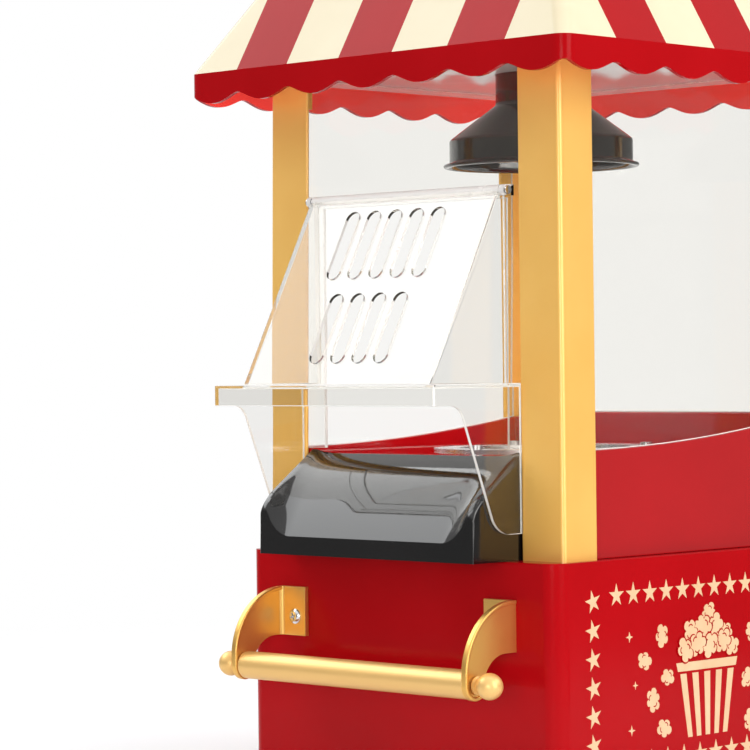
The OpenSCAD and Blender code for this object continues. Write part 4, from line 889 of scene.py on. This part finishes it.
def makeHandle():
    for side in (-1, 1):
        makeBracket(side)
    low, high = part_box("handle_bar")
    middle = (0, (low.y + high.y) / 2, (low.z + high.z) / 2)
    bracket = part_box("handle_bracket_right")[1].x / mm
    end, radius, shoulder = bracket - handle["plate"], handle["bar"] / 2, handle["shoulder"]
    half = [(0, -end)] + arc((radius - shoulder, shoulder - end), shoulder, -90, 0, 4)
    bm = bmesh.new()
    spinProfile(bm, half + [(r, -height) for r, height in reversed(half)], 48, middle, axis=(1, 0, 0))
    makePiece("handle_bar_piece", bm, "base", ["gold_bar"], ["handle_bar"], sharp=40)
    ball, collar, neck = handle["ball"], handle["collar"], handle["neck"]
    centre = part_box("handle_finial_right")[1].x / mm - ball
    section = [(0, bracket), (collar - 0.2, bracket), (collar, bracket + 0.3), (collar, bracket + 1.0),
               (neck, bracket + 1.5)]
    section += arc((0, centre), ball, math.degrees(math.asin(neck / ball)) - 90, 90, 20)
    section[-1] = (0, centre + ball)
    for side, name in ((-1, "handle_finial_left"), (1, "handle_finial_right")):
        bm = bmesh.new()
        spinProfile(bm, section, 40, middle, axis=(1, 0, 0))
        if side < 0:
            bmesh.ops.scale(bm, vec=(-1, 1, 1), verts=bm.verts)
        makePiece(name + "_piece", bm, "base", ["gold_bar"], [name], sharp=40)


# pan-head screws that hold the handle
screw = {
    "head": 3.9, "rise": 2.2, "crown": 5.4, "edge": 0.35, "field": 2.4, "steps": 36,
    "crossLong": 1.9, "crossWide": 0.45, "crossDeep": 1.3, "crossTurn": 20,
}


def makeBracketScrews():
    low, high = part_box("bracket_screws")
    head, rise, dome = screw["head"], screw["rise"], screw["crown"]
    # the crown, from the field that holds the socket out to the head's edge
    inner, outer = (math.degrees(math.acos(r / dome)) for r in (screw["field"], head - screw["edge"]))
    top = arc((0, rise - dome), dome, inner, outer, 6)
    rimLevel = top[-1][1]
    profile = top + [(head - 0.05, rimLevel - 0.3), (head, rimLevel - 0.6), (head, 0), (0.01, 0)]
    long, wide, level = screw["crossLong"] * mm, screw["crossWide"] * mm, top[0][1] * mm
    bm = bmesh.new()
    for side in (-1, 1):
        part = bmesh.new()
        spinProfile(part, profile, screw["steps"], (0, 0, 0))
        rim = [e for e in part.edges if e.is_boundary]
        # the cross-shaped socket: a plus sunk into the crown
        plus = []
        for quarter in range(4):
            spin = Matrix.Rotation(math.radians(screw["crossTurn"]) + quarter * math.pi / 2, 3, "Z")
            plus += [spin @ Vector((long, wide, level)), spin @ Vector((wide, wide, level))]
            plus.append(Matrix.Rotation(math.pi / 2, 3, "Z") @ spin @ Vector((long, -wide, level)))
        verts = [part.verts.new(v) for v in plus]
        socket = [part.edges.new(pair) for pair in zip(verts, verts[1:] + verts[:1])]
        bmesh.ops.triangle_fill(part, use_beauty=True, edges=rim + socket)
        sunk = bmesh.ops.extrude_edge_only(part, edges=socket)["geom"]
        bmesh.ops.translate(part, verts=vertsIn(sunk), vec=(0, 0, -screw["crossDeep"] * mm))
        bmesh.ops.contextual_create(part, geom=[e for e in sunk if isinstance(e, bmesh.types.BMEdge)])
        upright = Matrix.Rotation(math.pi / 2, 3, "X")
        bmesh.ops.rotate(part, cent=(0, 0, 0), matrix=upright, verts=part.verts)
        seat = (side * (high.x - head * mm), low.y + rise * mm, (low.z + high.z) / 2)
        bmesh.ops.translate(part, verts=part.verts, vec=seat)
        joinInto(bm, part)
    makePiece("bracket_screws_piece", bm, "base", ["chrome"], ["bracket_screws"],
              sharp=40)


# printed decoration on the base's sides: a border of stars round a striped tub of popcorn
prints = {
    "thick": 0.12, "starOut": 5.6, "starIn": 2.1, "topRow": 98.2, "bottomRow": 18.5, "pitch": 12.2,
    "edge": 84, "cornerDrop": 2.0, "columnTop": 82.6, "columnPitch": 13.3, "columnCount": 5, "lean": 12,
}


def starShape(bm, place, outer, inner, lean=0, points=5):
    made = bmesh.ops.create_circle(bm, cap_ends=True, segments=points * 2, radius=outer * mm)["verts"]
    for i, vert in enumerate(made):
        angle = math.radians(90 + lean + i * 180 / points)
        radius = outer if i % 2 == 0 else inner
        vert.co = (math.cos(angle) * radius + place[0], math.sin(angle) * radius + place[1], 0)
        vert.co *= mm
    return made


def cloudShape(bm, place, radius, lobes, turn):
    # a puffed corn: a circle whose rim swells into lobes
    made = bmesh.ops.create_circle(bm, cap_ends=True, segments=lobes * 6, radius=radius * mm)["verts"]
    for i, vert in enumerate(made):
        angle = i / (lobes * 6) * math.tau
        swell = tub["puff"] + tub["lobe"] * math.sqrt(abs(math.sin(lobes * angle / 2)))
        swell += tub["uneven"] * math.sin(angle * 2 + turn)
        reach = radius * swell
        angle += math.radians(turn)
        vert.co = (math.cos(angle) * reach + place[0], math.sin(angle) * reach + place[1], 0)
        vert.co *= mm
    return made


def polygonShape(bm, points):
    made = [bm.verts.new((x * mm, y * mm, 0)) for x, y in points]
    bm.faces.new(made)
    return made


def raiseShape(bm, verts, thick, look):
    # gives a flat shape its thickness and its look
    faces = list({f for v in verts for f in v.link_faces})
    for face in faces + extrudeFaces(bm, faces, (0, 0, thick * mm)):
        face.material_index = look
    for vert in verts:
        for face in vert.link_faces:
            face.material_index = look


def layOnSide(bm, side):
    # turns a flat print in x (along the face) and y (height) onto a side wall of the base
    for vert in bm.verts:
        x, y, z = vert.co
        vert.co = Vector((side * (baseHigh.x + z), axisY + side * x, y))


# the middle of each side: a striped tub heaped with corn, loose corn on either hand, and small sparkles
tub = {
    "foot": 27, "mouth": 63, "footHalf": 15, "mouthHalf": 21.5, "stripes": 9, "band": 4.2, "bandGap": 1.2,
    "bandOut": (1.5, 2),  # how far the band stands out at its foot and at its top
    "layer": 0.02, "outline": 0.7, "puff": 0.72, "lobe": 0.36, "uneven": 0.13, "creaseOut": 0.36,
    "creaseIn": 0.24, "sparkIn": 0.32,
    # corn: place, radius, lobes and turn
    "heap": [(-17, 69, 5.4, 5, 10), (-8, 71, 5.8, 6, 40), (2, 70, 5.6, 5, 0), (12, 71.5, 5.6, 6, 20),
             (19, 68.5, 4.8, 5, 60), (-12.5, 77.5, 5.2, 5, 30), (-3, 79.5, 5.6, 6, 80),
             (7.5, 79, 5.4, 5, 50), (14.5, 76, 4.4, 5, 15), (1.5, 86, 4.6, 5, 20)],
    "loose": [(-33, 33, 4.6, 5, 15), (-41, 47, 5.0, 6, 50), (-30, 57, 4.2, 5, 80), (-47, 66, 4.4, 5, 35),
              (-34, 77, 4.8, 5, 5), (33, 31, 4.8, 6, 70), (43, 43, 4.4, 5, 20), (31, 52, 4.4, 5, 45),
              (45, 62, 5.0, 5, 0), (35, 74, 4.4, 6, 30)],
    "sparks": [(-57, 34, 2.6), (-54, 55, 2.0), (-58, 78, 2.6), (57, 31, 2.2), (56, 53, 2.6), (57, 77, 2.2)],
}


def makeTub(bm):
    foot, mouth, thick = tub["foot"], tub["mouth"], prints["thick"]

    def edgeAt(share, level):  # x of a stripe's edge at a height
        half = tub["footHalf"] + (tub["mouthHalf"] - tub["footHalf"]) * (level - foot) / (mouth - foot)
        return half * (2 * share - 1)

    bandLow = mouth - tub["band"]
    high = bandLow - tub["bandGap"]
    for i in range(0, tub["stripes"], 2):
        a, b = i / tub["stripes"], (i + 1) / tub["stripes"]
        sides = [(edgeAt(a, foot), foot), (edgeAt(b, foot), foot), (edgeAt(b, high), high),
                 (edgeAt(a, high), high)]
        raiseShape(bm, polygonShape(bm, sides), thick, 0)
    # the rolled band at the mouth, and corn heaped over it
    under, over = tub["bandOut"]
    band = [(edgeAt(0, bandLow) - under, bandLow), (edgeAt(1, bandLow) + under, bandLow),
            (edgeAt(1, mouth) + over, mouth), (edgeAt(0, mouth) - over, mouth)]
    raiseShape(bm, polygonShape(bm, band), thick, 0)
    heaped, layer = len(tub["heap"]), tub["layer"]
    for i, (x, y, radius, lobes, turn) in enumerate(tub["heap"] + tub["loose"]):
        rise = thick + (heaped - min(i, heaped)) * layer * 2
        if i < heaped:
            raiseShape(bm, cloudShape(bm, (x, y), radius + tub["outline"], lobes, turn), rise - layer, 1)
        raiseShape(bm, cloudShape(bm, (x, y), radius, lobes, turn), rise, 0)
        for angle in (turn * 3, turn * 3 + 150):  # creases of the puff
            spot = arc((x, y), radius * tub["creaseOut"], angle, angle, 1)[0]
            crease = arc(spot, radius * tub["creaseOut"], angle - 60, angle + 70, 8)
            crease += arc(spot, radius * tub["creaseIn"], angle + 70, angle - 60, 8)
            raiseShape(bm, polygonShape(bm, crease), rise + layer, 1)
    for x, y, radius in tub["sparks"]:
        raiseShape(bm, starShape(bm, (x, y), radius, radius * tub["sparkIn"], points=4), thick, 0)


def makePrints():
    edge, pitch, lean = prints["edge"], prints["pitch"], prints["lean"]
    count = int(2 * (edge - pitch) / pitch) + 1
    start = -(count - 1) / 2 * pitch
    stars = [(start + i * pitch, height, 0) for i in range(count)
             for height in (prints["topRow"], prints["bottomRow"])]
    heights = [prints["topRow"] - prints["cornerDrop"]]
    heights += [prints["columnTop"] - i * prints["columnPitch"] for i in range(prints["columnCount"])]
    stars += [(side * edge, height, -side * lean) for side in (-1, 1) for height in heights]
    for side, name in ((1, "right"), (-1, "left")):
        bm = bmesh.new()
        for x, y, turn in stars:
            star = starShape(bm, (x, y), prints["starOut"], prints["starIn"], turn)
            raiseShape(bm, star, prints["thick"], 0)
        makeTub(bm)
        layOnSide(bm, side)
        makePiece("side_print_" + name, bm, "base", ["tan_print", "red_gloss"])
    print("prints laid")


def dressNodes():
    # the solids that stay as they are get their finish
    count = 0
    for node, piece in frame["nodes"].items():
        if not piece.hide_render:
            piece.data.materials.clear()
            piece.data.materials.append(materials[finishOf[slotOf[node]]])
            count += 1
    print("solids dressed:", count)


makeRoundedPieces()
makeRoof()
makeBell()
makeFiller()
makeChute()
makeHandle()
makeBracketScrews()
makePrints()
dressNodes()

scene.view_settings.view_transform = "Standard"
